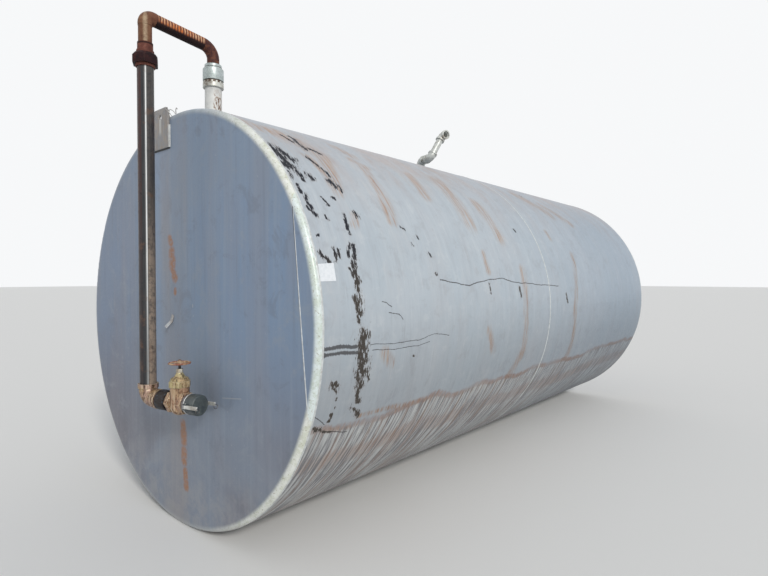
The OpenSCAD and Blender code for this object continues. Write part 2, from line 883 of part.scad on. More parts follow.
module vent_socket() {
  color("lightgray") difference() {
    translate([0, front_y + vent_y, top_z - weld_h]) cylinder(h = bung_h + weld_h, d = bung_d);
    translate([0, front_y + vent_y, top_z - weld_h - 1]) cylinder(h = bung_h + weld_h + 2, d = vent_bore);
    translate([0, front_y + vent_y, top_z + bung_h - vent_seat]) cylinder(h = vent_seat + 1, d = vent_d + 2 * play);
    tank_round();
  }
}

// Quarter bend about the origin's corner: it comes up Z and leaves along X
module quarter(r, d) {
  translate([r, 0, -r]) rotate([90, 0, 0]) mirror([1, 0, 0]) bend(r, d, 90);
}

// Elbow whose axes cross at the origin, with its faces down Z and out along X
module vent_elbow() {
  r = vent_reach - vent_band;
  difference() {
    union() {
      quarter(r, vent_elbow_d);
      translate([0, 0, -vent_reach]) cylinder(h = vent_band, d = vent_band_d);
      translate([r, 0, 0]) rotate([0, 90, 0]) cylinder(h = vent_band, d = vent_band_d);
    }
    quarter(r, vent_bore);
    translate([0, 0, -vent_reach - 1]) cylinder(h = vent_band + 1, d = vent_d + 2 * play);
    translate([r, 0, 0]) rotate([0, 90, 0]) cylinder(h = vent_band + 1, d = vent_d + 2 * play);
  }
}

module vent_elbows() {
  color("silver") {
    vent_frame() translate([0, 0, vent_rise]) vent_elbow();
    along_lean(0) rotate([0, 0, 180]) rotate([0, -90, 0]) vent_elbow();
  }
}

module vent_nipples() {
  foot = bung_h - vent_seat;
  inner = vent_reach - vent_band;
  color("silver") vent_frame() {
    translate([0, 0, foot]) tube(vent_d, vent_wall, vent_rise - inner - foot);
    translate([inner, 0, vent_rise]) rotate([0, 90, 0]) tube(vent_d, vent_wall, vent_run - 2 * inner);
  }
}

module vent_pipe() {
  color("silver") along_lean(vent_reach - vent_band) tube(vent_d, vent_wall, vent_len + 2 * vent_band);
}

module vent_outlet() {
  color("gainsboro") along_lean(2 * vent_reach + vent_len) vent_elbow();
}

front_shell();
rear_shell();
ring_welds();
front_head();
front_head_segment();
rear_head();
rear_head_segment();
head_seams();
lifting_lug();
lug_weld();
head_clip();
fill_stub();
fill_stub_weld();
fill_collar();
fill_coupling();
overhead_bend();
overhead_run();
top_elbow();
upper_leg();
union_upper();
union_nut();
union_lower();
riser_pipe();
bottom_elbow();
line_nipples();
line_coupling();
valve_body();
valve_bonnet();
packing_nut();
valve_stem();
handwheel();
wheel_nut();
hose_adapter();
dust_cap();
cam_pins();
front_cam_arm();
rear_cam_arm();
front_pull_ring();
rear_pull_ring();
vent_socket();
vent_nipples();
vent_elbows();
vent_pipe();
vent_outlet();
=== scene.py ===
import json
import math

import bmesh
import bpy
import numpy as np
from mathutils import Matrix, Vector


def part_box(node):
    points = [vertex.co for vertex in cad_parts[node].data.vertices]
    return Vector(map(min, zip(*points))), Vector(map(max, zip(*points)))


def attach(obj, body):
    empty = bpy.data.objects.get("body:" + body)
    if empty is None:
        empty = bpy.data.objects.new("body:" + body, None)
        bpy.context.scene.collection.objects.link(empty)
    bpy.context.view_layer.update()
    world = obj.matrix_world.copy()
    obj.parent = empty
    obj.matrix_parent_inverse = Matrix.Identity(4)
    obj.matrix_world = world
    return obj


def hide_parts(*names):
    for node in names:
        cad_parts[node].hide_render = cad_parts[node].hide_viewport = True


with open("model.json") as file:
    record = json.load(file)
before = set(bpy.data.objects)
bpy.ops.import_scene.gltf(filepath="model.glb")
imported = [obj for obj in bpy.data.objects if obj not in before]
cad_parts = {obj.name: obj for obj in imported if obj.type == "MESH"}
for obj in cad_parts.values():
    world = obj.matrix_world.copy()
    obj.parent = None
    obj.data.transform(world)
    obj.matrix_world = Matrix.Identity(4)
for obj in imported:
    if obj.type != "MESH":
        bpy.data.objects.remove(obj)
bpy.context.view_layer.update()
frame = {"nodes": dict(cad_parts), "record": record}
NODES = frame["nodes"]


# Middle of a node along an axis, and how far the node reaches along it
def centre(node, axis):
    low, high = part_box(node)
    return (low[axis] + high[axis]) / 2


def spread(node, axis):
    low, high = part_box(node)
    return high[axis] - low[axis]


# Sizes and places in metres, taken from the frame
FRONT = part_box("front_head")[0].y
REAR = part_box("rear_head")[1].y
R = spread("front_shell", 0) / 2
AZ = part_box("front_shell")[1].z - R
JOINTS = {j["name"]: j for j in frame["record"]["behaviour"]["joints"]}
RISER_Y = centre("riser_pipe", 1)
VALVE = Vector(JOINTS["wheel_turn"]["pos_m"])
CLOCK = math.atan2(VALVE.y - RISER_Y, VALVE.x)
STUB_Y = centre("fill_stub", 1)
TOP = AZ + R
PIPE_R = round(spread("riser_pipe", 0) / 2, 5)

# The photograph's size in pixels, and the camera that took it: its focal length in pixels,
# its place in metres, and how far it turns to the left and up in radians
PHOTO_W, PHOTO_H = 768, 576
FOCAL = 527.9
EYE = (2.9543, FRONT - 1.580, AZ + 0.249)
YAW, PITCH = 0.7082, -0.0205
AHEAD = (-math.sin(YAW) * math.cos(PITCH), math.cos(YAW) * math.cos(PITCH), math.sin(PITCH))

# Marks picked in the photograph. Each is a half width in millimetres and then the pixels
# that it passes through, as x, y, x, y and so on.
FLAKES = {
    "patch_high_by_rim": (
        (22, 264, 141, 272, 147), (55, 271, 147, 284, 159.5), (45, 278, 150, 292, 159),
        (40, 277, 157, 286, 166), (35, 284, 159.5, 293, 167), (28, 293, 169, 300, 175),
        (18, 299, 174, 303, 179), (28, 306, 173, 313, 179), (16, 296, 184, 301, 192),
        (26, 305, 196, 311, 208), (22, 309, 208, 316, 215), (16, 289, 172, 292, 177),
        (15, 322, 197, 328, 204), (12, 333, 197, 334.5, 199), (14, 325, 217, 329, 221),
        (10, 317, 234, 319, 235)),
    "streaks_near_top": (
        (18, 281, 135, 293, 142), (24, 291, 137, 305, 149), (22, 310, 149, 321, 154),
        (17, 307.5, 157.5, 324, 170), (16, 326, 172, 330, 177), (26, 329, 180, 335, 186),
        (14, 337, 184, 343, 192), (20, 344, 215, 348, 228), (14, 347, 222, 350, 234),
        (26, 353, 212, 356, 216)),
    "ticks_above_tag": (
        (20, 322, 253, 323.5, 258), (16, 333, 248, 335, 261), (13, 337, 249, 339.5, 257),
        (14, 327, 258, 329, 262)),
    "column_beside_tag": (
        (16, 348.5, 247, 350, 256), (22, 353, 245.5, 356, 262), (26, 354, 262, 359, 282),
        (14, 351, 268, 354, 276), (30, 357, 282, 360, 300), (30, 356, 300, 360, 314),
        (12, 357, 314, 359, 322)),
    "column_below_tag": (
        (50, 364, 334, 362, 345), (58, 363, 345.5, 363, 362), (35, 361, 366, 367, 372),
        (30, 357.5, 370.5, 360, 388), (20, 366, 372, 369, 380), (28, 358, 388, 359, 402),
        (28, 353, 408, 357, 415)),
    "spots_low_by_rim": (
        (26, 333, 383, 338, 387), (14, 335, 390, 335.5, 393), (8, 335.4, 399, 335.4, 400),
        (9, 333.5, 408, 333.6, 409), (12, 331, 414, 329, 422), (20, 315, 429.5, 322, 430),
        (10, 324, 431, 330, 433)),
    "strays": (
        (13, 413.5, 356.5, 414, 357), (12, 518, 194.5, 522, 197), (12, 402, 228, 404, 229),
        (10, 411, 243, 413, 245), (14, 429, 253, 430.5, 256), (13, 435.5, 273.5, 437, 274.5),
        (20, 514, 230, 515.5, 231.5), (16, 490, 284, 491, 293), (20, 520, 288, 521, 296),
        (20, 566, 294, 568, 302), (13, 417.5, 236.5, 418, 239)),
}
LINES = {
    "double_line_at_rim": (
        (8.8, 320, 350.7, 336.4, 346.9, 357.4, 346), (8, 324.9, 356.4, 338.3, 354.5, 357.4, 352.6),
        (11.2, 324.9, 356.4, 319.5, 362, 317, 369)),
    "twin_scratch": (
        (1.8, 370.8, 345.9, 399.5, 342, 418.6, 340, 433.9, 334.4, 448.8, 335.4),
        (1.8, 372.7, 350.7, 391.8, 348.8, 418.6, 345, 430, 341)),
    "short_hooks": (
        (2.3, 382.3, 301, 387, 303.5, 391.8, 307.7), (2.3, 389.5, 312.4, 399.5, 313.4, 402.9, 319)),
    "long_scratch": (
        (3.2, 440, 279.6, 455, 283, 469.3, 285.4, 476.9, 282.8, 489.7, 279, 502.4, 278.4,
         513.9, 281.6, 528, 283.5, 558.6, 286.7),),
    "low_scratches": ((2.7, 326.8, 432, 347.8, 431), (2.3, 314, 417, 326, 424)),
}
RUST = {
    "stains_on_top": (
        (35, 350.5, 159.5, 367, 168), (40, 360, 165, 374, 182, 383, 199), (50, 383, 199, 393, 221),
        (50, 335, 147, 352, 156), (80, 250, 124, 285, 136), (90, 280, 133, 320.5, 156),
        (60, 320.5, 156, 337, 190), (35, 307, 156, 331, 179), (90, 437, 181, 469, 222),
        (60, 410, 176, 425, 196), (80, 477, 205, 500, 237), (80, 515, 195, 550, 215),
        (60, 540, 205, 570.5, 224.5)),
    "spots_on_side": ((35, 484, 254, 488, 271), (40, 546, 233, 550, 238)),
    "run_before_joint": (
        (50, 522, 270, 526, 310), (45, 526, 310, 524, 349.5), (50, 524, 349.5, 514, 368),
        (60, 514, 368, 507, 378)),
    "run_behind_joint": (
        (50, 572, 256, 575, 310, 571, 345), (60, 571, 345, 564, 362), (80, 564, 362, 545, 390)),
    "line_above_scraping": (
        (18, 327, 430, 350, 428), (18, 355, 418, 386, 409), (20, 386, 409, 422, 401),
        (22, 422, 401, 459, 393), (25, 459, 393, 501, 382, 526, 378)),
    "stains_in_scraping": (
        (45, 304, 467.5, 338, 455), (50, 338, 455, 376, 442, 392, 434), (70, 465, 420, 490, 405),
        (80, 540, 388, 587, 364)),
    "spots_by_tag": ((35, 354, 216, 356, 224), (40, 384.5, 352, 391, 363), (40, 489, 330, 493.5, 350)),
}
HEAD_STAINS = {
    "drips_above_valve": (
        (24, 170, 239, 170.5, 242), (30, 171, 251.5, 171.5, 254), (34, 172, 261.5, 172, 264),
        (20, 172, 268, 173, 270), (28, 174, 274, 174.5, 277), (16, 175, 290, 175, 292)),
    "drips_below_valve": ((26, 183, 425, 184, 441), (26, 184, 452, 184, 460), (22, 185, 470, 186, 486.5)),
}
HEAD_SCRATCH_AND_GLINT = {
    "glint": ((6, 193, 305.5, 193, 306.5),),
    "scratch_by_cap": ((3, 223, 398, 241, 398.5),),
}
TAG_CORNERS = ((317, 264), (333.5, 263), (336, 281), (319.5, 281.5))

# Heights and slopes of pieces whose looks follow their shape
COURSE = 2.498
LUG_HOLE_Z = {m["name"]: m for m in frame["record"]["mounts"]}["lug_hole"]["pos_m"][2]
OVER_SLOPE = math.tan(math.radians(5.8))
OVER_Z = centre("overhead_run", 2)
OVER_Z += OVER_SLOPE * (centre("overhead_run", 1) - RISER_Y)
seam = [v.co for v in NODES["head_seams"].data.vertices if v.co.y < 0]
seam_top = max(seam, key=lambda p: p.z)
seam_low = min(seam, key=lambda p: p.z)
SEAM_SLOPE = (seam_top.x - seam_low.x) / (seam_top.z - seam_low.z)
SEAM_X = sum(p.x - SEAM_SLOPE * (p.z - AZ) for p in seam) / len(seam)


# Line of sight through a pixel of the photograph, with y down the picture
def sight(px, py):
    ahead = np.array(AHEAD)
    right = np.array((math.cos(YAW), math.sin(YAW), 0.0))
    up = np.cross(right, ahead)
    return ahead + right * (px - PHOTO_W / 2) / FOCAL - up * (py - PHOTO_H / 2) / FOCAL


# Where a pixel meets the shell: distance behind the front end, and round the shell from its top
def on_shell(px, py, digits=2):
    x, y, z = sight(px, py)
    over, rise = EYE[0], EYE[2] - AZ
    a, b, c = x * x + z * z, over * x + rise * z, over * over + rise * rise - R * R
    reach = (-b - math.sqrt(b * b - a * c)) / a
    turn = math.atan2(over + reach * x, rise + reach * z)
    return round(EYE[1] - FRONT + reach * y, digits), round(turn * R, digits)


# Where a pixel meets the front end: distance across it and above the ground
def on_end(px, py, digits=2):
    x, y, z = sight(px, py)
    reach = (FRONT - EYE[1]) / y
    return round(EYE[0] + reach * x, digits), round(EYE[2] + reach * z, digits)


# The marks' steps in metres on a surface, as point, point and half width
def steps_on(surface, groups):
    steps = []
    for group in groups.values():
        for half, *path in group:
            spots = [surface(px, py) for px, py in zip(path[::2], path[1::2])]
            steps += [(a, b, half / 1000) for a, b in zip(spots, spots[1:])]
    return steps


# A Principled material whose inputs are numbers, colours or sockets
class Shader:

    def __init__(self, name):
        self.mat = bpy.data.materials.new(name)
        self.mat.use_nodes = True
        self.tree = self.mat.node_tree
        self.tree.nodes.clear()
        self.out = self.tree.nodes.new("ShaderNodeOutputMaterial")
        self.bsdf = self.tree.nodes.new("ShaderNodeBsdfPrincipled")
        self.tree.links.new(self.bsdf.outputs[0], self.out.inputs[0])
        self.obj = self.node("ShaderNodeTexCoord").outputs["Object"]

    def put(self, value, socket):
        if isinstance(value, bpy.types.NodeSocket):
            self.tree.links.new(value, socket)
            return
        if isinstance(value, (tuple, list)):
            value = tuple(value)
            if socket.type == "RGBA" and len(value) == 3:
                value = value + (1.0,)
        socket.default_value = value

    def node(self, kind, inputs=None, **props):
        n = self.tree.nodes.new(kind)
        for k, v in props.items():
            setattr(n, k, v)
        for k, v in (inputs or {}).items():
            self.put(v, n.inputs[k])
        return n

    # The material with its looks set; spec is how strongly a surface without metal mirrors
    def done(self, col, metal, rough, normal=None, spec=0.5):
        inputs = {"Base Color": col, "Metallic": metal, "Roughness": rough, "Specular IOR Level": spec}
        if normal is not None:
            inputs["Normal"] = normal
        for k, v in inputs.items():
            self.put(v, self.bsdf.inputs[k])
        return self.mat

    def math(self, op, a, b=0.0):
        return self.node("ShaderNodeMath", {0: a, 1: b}, operation=op).outputs[0]

    def fold(self, op, values):
        out = values[0]
        for v in values[1:]:
            out = self.math(op, out, v)
        return out

    def mul(self, *values):
        return self.fold("MULTIPLY", values)

    def add(self, *values):
        return self.fold("ADD", values)

    def sub(self, a, b):
        return self.math("SUBTRACT", a, b)

    def most(self, a, b):
        return self.math("MAXIMUM", a, b)

    def least(self, a, b):
        return self.math("MINIMUM", a, b)

    def vector(self, op, a, b=(0, 0, 0), c=None, out=0):
        n = self.node("ShaderNodeVectorMath", {0: a, 1: b}, operation=op)
        if c is not None:
            self.put(c, n.inputs[2])
        return n.outputs[out]

    def xyz(self, vec=None):
        n = self.node("ShaderNodeSeparateXYZ", {0: self.obj if vec is None else vec})
        return n.outputs[0], n.outputs[1], n.outputs[2]

    def combine(self, x, y, z):
        return self.node("ShaderNodeCombineXYZ", {0: x, 1: y, 2: z}).outputs[0]

    def scaled(self, vec, scale, offset=(0, 0, 0)):
        ins = {"Vector": vec, "Scale": scale, "Location": offset}
        return self.node("ShaderNodeMapping", ins).outputs[0]

    def noise(self, scale, detail=4.0, rough=0.55, vec=None, warp=0.0, out=0):
        ins = {"Scale": scale, "Detail": detail, "Roughness": rough, "Distortion": warp}
        ins["Vector"] = self.obj if vec is None else vec
        return self.node("ShaderNodeTexNoise", ins).outputs[out]

    # Noise drawn out along the axes of vec
    def drawn(self, vec, scale, detail, rough, offset=(0, 0, 0)):
        return self.noise(1.0, detail, rough, self.scaled(vec, scale, offset))

    def cells(self, scale):
        return self.node("ShaderNodeTexVoronoi", {"Scale": scale, "Vector": self.obj}).outputs["Distance"]

    def span(self, v, a, b, lo=0.0, hi=1.0, smooth=True):
        ins = {"Value": v, "From Min": a, "From Max": b, "To Min": lo, "To Max": hi}
        kind = "SMOOTHSTEP" if smooth else "LINEAR"
        return self.node("ShaderNodeMapRange", ins, interpolation_type=kind).outputs[0]

    # One between a and b, falling to nothing over the soft width outside them
    def window(self, v, a, b, soft):
        return self.mul(self.span(v, a - soft, a), self.span(v, b, b + soft, 1.0, 0.0))

    def mix(self, fac, a, b, blend="MIX"):
        n = self.node("ShaderNodeMix", data_type="RGBA", blend_type=blend, clamp_factor=True)
        self.put(fac, n.inputs[0])
        self.put(a, n.inputs[6])
        self.put(b, n.inputs[7])
        return n.outputs[2]

    # Colour over laid on col, up to the share given, where v goes from a to b
    def lay(self, col, v, a, b, share, over):
        return self.mix(self.mul(self.span(v, a, b), share), col, over)

    def ramp(self, fac, stops):
        n = self.node("ShaderNodeValToRGB", {0: fac})
        el = n.color_ramp.elements
        while len(el) < len(stops):
            el.new(0.5)
        for e, (pos, col) in zip(el, stops):
            e.position = pos
            e.color = tuple(col) + (1.0,)
        return n.outputs[0]

    # vec moved about by noise, by up to half the reach along each axis
    def strayed(self, vec, scale, reach):
        stray = self.noise(scale, 3, 0.5, vec, out=1)
        return self.vector("MULTIPLY_ADD", self.vector("SUBTRACT", stray, (0.5, 0.5, 0.5)), reach, vec)

    # Angle round an upright axis at x = 0, and the height
    def turn_and_height(self, mid_y):
        x, y, z = self.xyz()
        return self.math("ARCTAN2", self.sub(y, mid_y), x), z

    def bump(self, height, strength, distance, normal=None):
        ins = {"Height": height, "Strength": strength, "Distance": distance}
        if normal is not None:
            ins["Normal"] = normal
        return self.node("ShaderNodeBump", ins).outputs[0]

    # Normal with rounded edges, and a mask of the edges themselves
    def soft_edge(self, radius):
        round_normal = self.node("ShaderNodeBevel", {"Radius": radius}, samples=4).outputs[0]
        flat = self.node("ShaderNodeNewGeometry").outputs["Normal"]
        lean = self.vector("DOT_PRODUCT", round_normal, flat, out=1)
        return round_normal, self.span(lean, 0.995, 0.86)

    # Distance to the nearest mark, as a share of that mark's half width
    def nearest(self, uv, marks):
        best = None
        for (ax, ay), (bx, by), half in marks:
            rel = self.vector("SUBTRACT", uv, (ax, ay, 0))
            dx, dy = bx - ax, by - ay
            long2 = dx * dx + dy * dy
            if long2 > 1e-6:
                along = self.vector("DOT_PRODUCT", rel, (dx / long2, dy / long2, 0), out=1)
                along = self.least(self.most(along, 0.0), 1.0)
                ins = {0: (-dx, -dy, 0), "Scale": along}
                back = self.node("ShaderNodeVectorMath", ins, operation="SCALE").outputs[0]
                rel = self.vector("ADD", rel, back)
            share = self.math("DIVIDE", self.vector("LENGTH", rel, out=1), half)
            best = share if best is None else self.least(best, share)
        return best


# Colours, linear
SILVER = (0.455, 0.505, 0.555)
HEAD_BLUE = (0.204, 0.286, 0.415)
HEAD_GREY = (0.190, 0.198, 0.235)
NAVY = (0.012, 0.014, 0.022)
CHAR = (0.055, 0.048, 0.042)
RUST_PALE = (0.42, 0.235, 0.155)
RUST_MID = (0.30, 0.125, 0.055)
# Near-white colour of the painted highlight on the ends' rolled edges
HIGHLIGHT_WHITE = (0.80, 0.82, 0.78)


# What the parts of a shell course's paint share: metres behind the front end (u), metres round the
# shell from its top (v, and low on either side), fine grain, hair streaks, and the marks' wander
class ShellShader(Shader):

    def __init__(self, name):
        super().__init__(name)
        x, y, z = self.xyz()
        self.u = self.sub(y, FRONT)
        self.v = self.mul(self.math("ARCTAN2", x, self.sub(z, AZ)), R)
        self.uv = self.combine(self.u, self.v, 0.0)
        self.low = self.math("ABSOLUTE", self.v)
        self.fine = self.noise(70, 5, 0.65)
        self.hair = self.drawn(self.uv, (95, 4.5, 1), 5, 0.7)
        self.bent = self.strayed(self.uv, 9, (0.05, 0.02, 0))


# Streaked and blotched silver, with warm stains towards the top
def faded_silver(s):
    mottle = s.noise(1.5, 5, 0.6)
    streak = s.drawn(s.uv, (16, 1.1, 1), 6, 0.62)
    blotch = s.noise(9, 6, 0.7, warp=0.4)
    col = s.mix(s.span(mottle, 0.36, 0.64), SILVER, (0.43, 0.49, 0.545))
    col = s.lay(col, streak, 0.48, 0.72, 0.36, (0.53, 0.575, 0.61))
    col = s.lay(col, streak, 0.48, 0.30, 0.34, (0.37, 0.40, 0.44))
    col = s.lay(col, blotch, 0.53, 0.68, 0.40, (0.56, 0.60, 0.63))
    col = s.lay(col, blotch, 0.47, 0.34, 0.40, (0.36, 0.385, 0.42))
    col = s.lay(col, s.hair, 0.52, 0.74, 0.40, (0.60, 0.63, 0.66))
    col = s.lay(col, s.hair, 0.45, 0.28, 0.34, (0.30, 0.315, 0.35))
    upper = s.span(s.low, 0.55, 1.35, 1.0, 0.0)
    warm = s.drawn(s.uv, (5.5, 1.7, 1), 5, 0.65, (3.1, 0.4, 0))
    warm = s.mul(s.add(upper, 0.16), s.span(warm, 0.43, 0.66), s.span(s.hair, 0.34, 0.60, 0.3, 1.0))
    col = s.mix(s.mul(warm, 0.62), col, (0.47, 0.375, 0.335))
    tan = s.drawn(s.uv, (21, 1.6, 1), 6, 0.7, (7.7, 2.2, 0))
    return s.mix(s.mul(upper, s.span(tan, 0.56, 0.74), 0.55), col, (0.56, 0.53, 0.44))


# Rust that runs down the shell in threads
def rust_runs(s, col, rusts):
    thread = s.drawn(s.uv, (75, 3.4, 1), 5, 0.72, (2.0, 5.1, 0))
    rust = s.mul(s.span(s.nearest(s.bent, rusts), 1.3, 0.25), s.span(thread, 0.43, 0.61, 0.10, 1.0))
    ochre = s.mix(s.span(s.hair, 0.40, 0.62), (0.47, 0.30, 0.18), (0.29, 0.14, 0.065))
    return s.mix(s.mul(rust, 0.80), col, ochre)


# Lower part scraped by sand, with slanting strokes under a wavering line of rust. Besides the
# colour it gives how far the paint is scraped, and the strokes.
def scraped_side(s, col):
    slant = s.combine(s.add(s.u, s.mul(s.v, 0.13)), s.v, 0.0)
    stroke = s.drawn(slant, (62, 2.4, 1), 4, 0.6)
    bold = s.drawn(slant, (24, 1.1, 1), 4, 0.65, (4.2, 0.3, 0))
    wander = s.mul(s.sub(s.drawn(s.uv, (2.2, 0.6, 1), 3, 0.5), 0.5), 0.16)
    edge = s.add(s.low, wander, s.mul(s.sub(s.hair, 0.5), 0.05))
    scraped = s.span(edge, 2.385, 2.44)
    rubbed = s.mix(s.span(stroke, 0.42, 0.57), (0.205, 0.20, 0.215), (0.66, 0.68, 0.68))
    rubbed = s.lay(rubbed, bold, 0.51, 0.60, 0.70, (0.30, 0.20, 0.155))
    rubbed = s.lay(rubbed, bold, 0.44, 0.34, 0.55, (0.12, 0.12, 0.135))
    rubbed = s.lay(rubbed, s.drawn(slant, (130, 5, 1), 4, 0.7), 0.54, 0.64, 0.75, (0.82, 0.84, 0.83))
    second = s.mul(s.window(edge, 2.59, 2.66, 0.05), s.span(stroke, 0.42, 0.62), 0.5)
    rubbed = s.mix(second, rubbed, RUST_PALE)
    col = s.mix(s.mul(scraped, 0.86), col, rubbed)
    line = s.mul(s.window(edge, 2.400, 2.418, 0.022), s.span(stroke, 0.38, 0.58, 0.25, 1.0))
    line = s.mul(line, s.span(s.drawn(s.uv, (1.6, 0.2, 1), 3, 0.5), 0.36, 0.60, 0.30, 1.0), 0.80)
    col = s.mix(line, col, s.mix(s.span(s.fine, 0.40, 0.60), (0.36, 0.20, 0.125), RUST_MID))
    return col, scraped, stroke


# Darker towards the far end, near the top and low down, and soiled at the ground
def shaded(s, col):
    shade = s.mul(s.span(s.u, 0.9, 4.8), s.span(s.low, 0.4, 1.2, 0.35, 1.0))
    col = s.mix(shade, col, (0.68, 0.735, 0.80), "MULTIPLY")
    col = s.mix(s.span(s.low, 1.70, 2.35), col, (0.74, 0.735, 0.735), "MULTIPLY")
    col = s.mix(s.span(s.low, 1.35, 0.55), col, (0.90, 0.87, 0.87), "MULTIPLY")
    return s.mix(s.mul(s.span(s.low, 3.45, 3.80), 0.7), col, (0.23, 0.15, 0.12))


# Flakes and scratches down to the dark undercoat. Besides the colour it gives the flakes.
def bared(s, col, flakes, lines):
    grain = s.drawn(s.uv, (135, 30, 1), 4, 0.66)
    clump = s.drawn(s.uv, (34, 14, 1), 3, 0.6)
    near_flake = s.nearest(s.bent, flakes)
    cover = s.add(s.mul(grain, 0.62), s.mul(clump, 0.38))
    need = s.span(near_flake, 0.0, 1.2, 0.395, 0.615, smooth=False)
    spare = s.sub(cover, need)
    rim = s.mul(s.span(spare, -0.05, 0.0), s.span(near_flake, 1.5, 1.1), 0.45)
    col = s.mix(rim, col, (0.34, 0.31, 0.30))
    scratch = s.add(s.nearest(s.bent, lines), s.mul(s.sub(grain, 0.5), 3.0))
    col = s.mix(s.mul(s.span(scratch, 1.12, 0.92), 0.84), col, (0.040, 0.036, 0.038))
    bare = s.mix(s.span(s.low, 1.45, 1.75), NAVY, CHAR)
    dusty = s.mul(s.span(s.fine, 0.52, 0.66), s.span(s.low, 1.6, 1.9), 0.6)
    bare = s.mix(dusty, bare, (0.105, 0.088, 0.075))
    flaked = s.mul(s.span(spare, 0.0, 0.016), s.span(near_flake, 1.6, 1.35))
    return s.mix(flaked, col, bare), flaked


# Aluminium paint of a shell course from u0 to u1 behind the front end, with the marks on it
def shell_paint(name, u0, u1):
    s = ShellShader(name)
    flakes, lines, rusts = (
        [(a, b, half) for a, b, half in steps_on(on_shell, groups) if b[0] > u0 and a[0] < u1]
        for groups in (FLAKES, LINES, RUST))
    col, scraped, stroke = scraped_side(s, rust_runs(s, faded_silver(s), rusts))
    col, flaked = bared(s, shaded(s, col), flakes, lines)
    dull = s.mul(s.most(s.mul(scraped, 0.5), flaked), 0.22)
    wave = s.drawn(s.uv, (1.1, 0.8, 1), 2, 0.5)
    grit = s.add(s.mul(s.fine, 0.5), s.mul(s.hair, 0.6), s.mul(stroke, scraped, 1.2))
    normal = s.bump(grit, 0.22, 0.0012, s.bump(wave, 0.35, 0.05))
    return s.done(col, 0.12, s.add(s.span(s.fine, 0.3, 0.7, 0.36, 0.52), dull), normal, 0.3)


# Stains, a tan band, a scratch and a painted glint on the front end
def head_marks(s, col, x, face, wide):
    near = s.nearest(s.strayed(face, 7, (0.05, 0.05, 0)), steps_on(on_end, HEAD_STAINS))
    stain = s.mul(s.span(near, 1.7, 0.6), s.span(s.noise(48, 6, 0.75), 0.36, 0.54, 0.25, 1.0))
    col = s.mix(stain, col, (0.33, 0.135, 0.05))
    tan = s.mul(s.window(x, -0.16, 0.05, 0.10), s.span(wide, 0.35, 0.6, 0.4, 1.0))
    col = s.mix(s.mul(tan, 0.30), col, (0.29, 0.25, 0.225))
    # A real scratch and a painted glint, both drawn lighter grey
    scratch = s.span(s.nearest(face, steps_on(on_end, HEAD_SCRATCH_AND_GLINT)), 1.2, 0.7)
    return s.mix(s.mul(scratch, 0.55), col, (0.40, 0.41, 0.43))


# Painted highlight of the sun on the rolled edge round an end, chipped in places and duller on its shaded
# side
def painted_edge_highlight(s, col, x, z, fine):
    reach = s.vector("LENGTH", s.combine(x, s.sub(z, AZ), 0.0), out=1)
    rim = s.span(s.add(reach, s.mul(s.sub(fine, 0.5), 0.006)), R - 0.040, R - 0.014)
    round_turn = s.math("ARCTAN2", x, s.sub(z, AZ))
    # Painted light: the highlight is strongest on the side that faces the sun
    sunny = s.span(s.math("ABSOLUTE", s.sub(round_turn, 1.55)), 0.80, 1.50, 1.0, 0.25)
    chips = s.span(s.noise(120, 4, 0.7), 0.58, 0.66)
    # Near-white colour of the painted highlight, broken by dark chips
    painted_highlight = s.mix(s.span(s.noise(22, 5, 0.7), 0.38, 0.66), HIGHLIGHT_WHITE, (0.62, 0.65, 0.55))
    painted_highlight = s.mix(s.mul(chips, 0.8), painted_highlight, (0.30, 0.25, 0.18))
    return s.mix(s.mul(rim, sunny), col, painted_highlight)


# Aluminium paint on a flat end's sheet: bluish, with faint upright streaks, splashed near the
# ground and brown on its back
def head_paint(name, front, tint=(1, 1, 1)):
    s = Shader(name)
    x, y, z = s.xyz()
    face = s.combine(x, z, 0.0)
    mottle = s.noise(1.4, 4, 0.55)
    fine = s.noise(85, 5, 0.65)
    streak = s.drawn(face, (26, 0.9, 1), 5, 0.6)
    wide = s.drawn(face, (4.5, 0.45, 1), 3, 0.5, (1.7, 0, 0))
    low = s.span(z, 1.35, 0.35)
    col = s.mix(low, HEAD_BLUE, HEAD_GREY)
    col = s.lay(col, mottle, 0.40, 0.62, 0.55, (0.225, 0.285, 0.37))
    col = s.lay(col, wide, 0.46, 0.64, 0.42, (0.255, 0.265, 0.31))
    col = s.lay(col, streak, 0.48, 0.70, 0.30, (0.30, 0.345, 0.41))
    col = s.lay(col, streak, 0.46, 0.30, 0.28, (0.165, 0.19, 0.235))
    col = s.mix(s.span(x, -0.35, -0.85), col, (0.84, 0.80, 0.80), "MULTIPLY")
    cloud = s.noise(5.5, 6, 0.72, warp=0.6)
    col = s.lay(col, cloud, 0.54, 0.68, 0.35, (0.285, 0.315, 0.36))
    col = s.lay(col, cloud, 0.46, 0.34, 0.35, (0.155, 0.175, 0.215))
    speck = s.mul(s.span(s.noise(34, 6, 0.72), 0.62, 0.72), 0.40)
    col = s.mix(speck, col, (0.40, 0.43, 0.47))
    splash = s.mul(s.span(z, 0.62, 0.10), s.span(s.noise(7, 5, 0.7), 0.42, 0.62))
    col = s.mix(s.mul(splash, 0.50), col, (0.33, 0.33, 0.345))
    if front:
        col = head_marks(s, col, x, face, wide)
    col = painted_edge_highlight(s, col, x, z, fine)
    half_len = (REAR - FRONT) / 2
    back = s.span(s.math("ABSOLUTE", s.sub(y, (FRONT + REAR) / 2)), half_len - 0.0245, half_len - 0.028)
    col = s.mix(s.mul(back, s.span(fine, 0.38, 0.58)), col, (0.20, 0.12, 0.075))
    col = s.mix(1.0, col, tint, "MULTIPLY")
    wave = s.noise(1.1, 2, 0.5)
    grit = s.add(s.mul(fine, 0.6), s.mul(streak, 0.5))
    normal = s.bump(grit, 0.20, 0.0010, s.bump(wave, 0.35, 0.05))
    return s.done(col, 0.12, s.span(fine, 0.3, 0.7, 0.36, 0.50), normal)
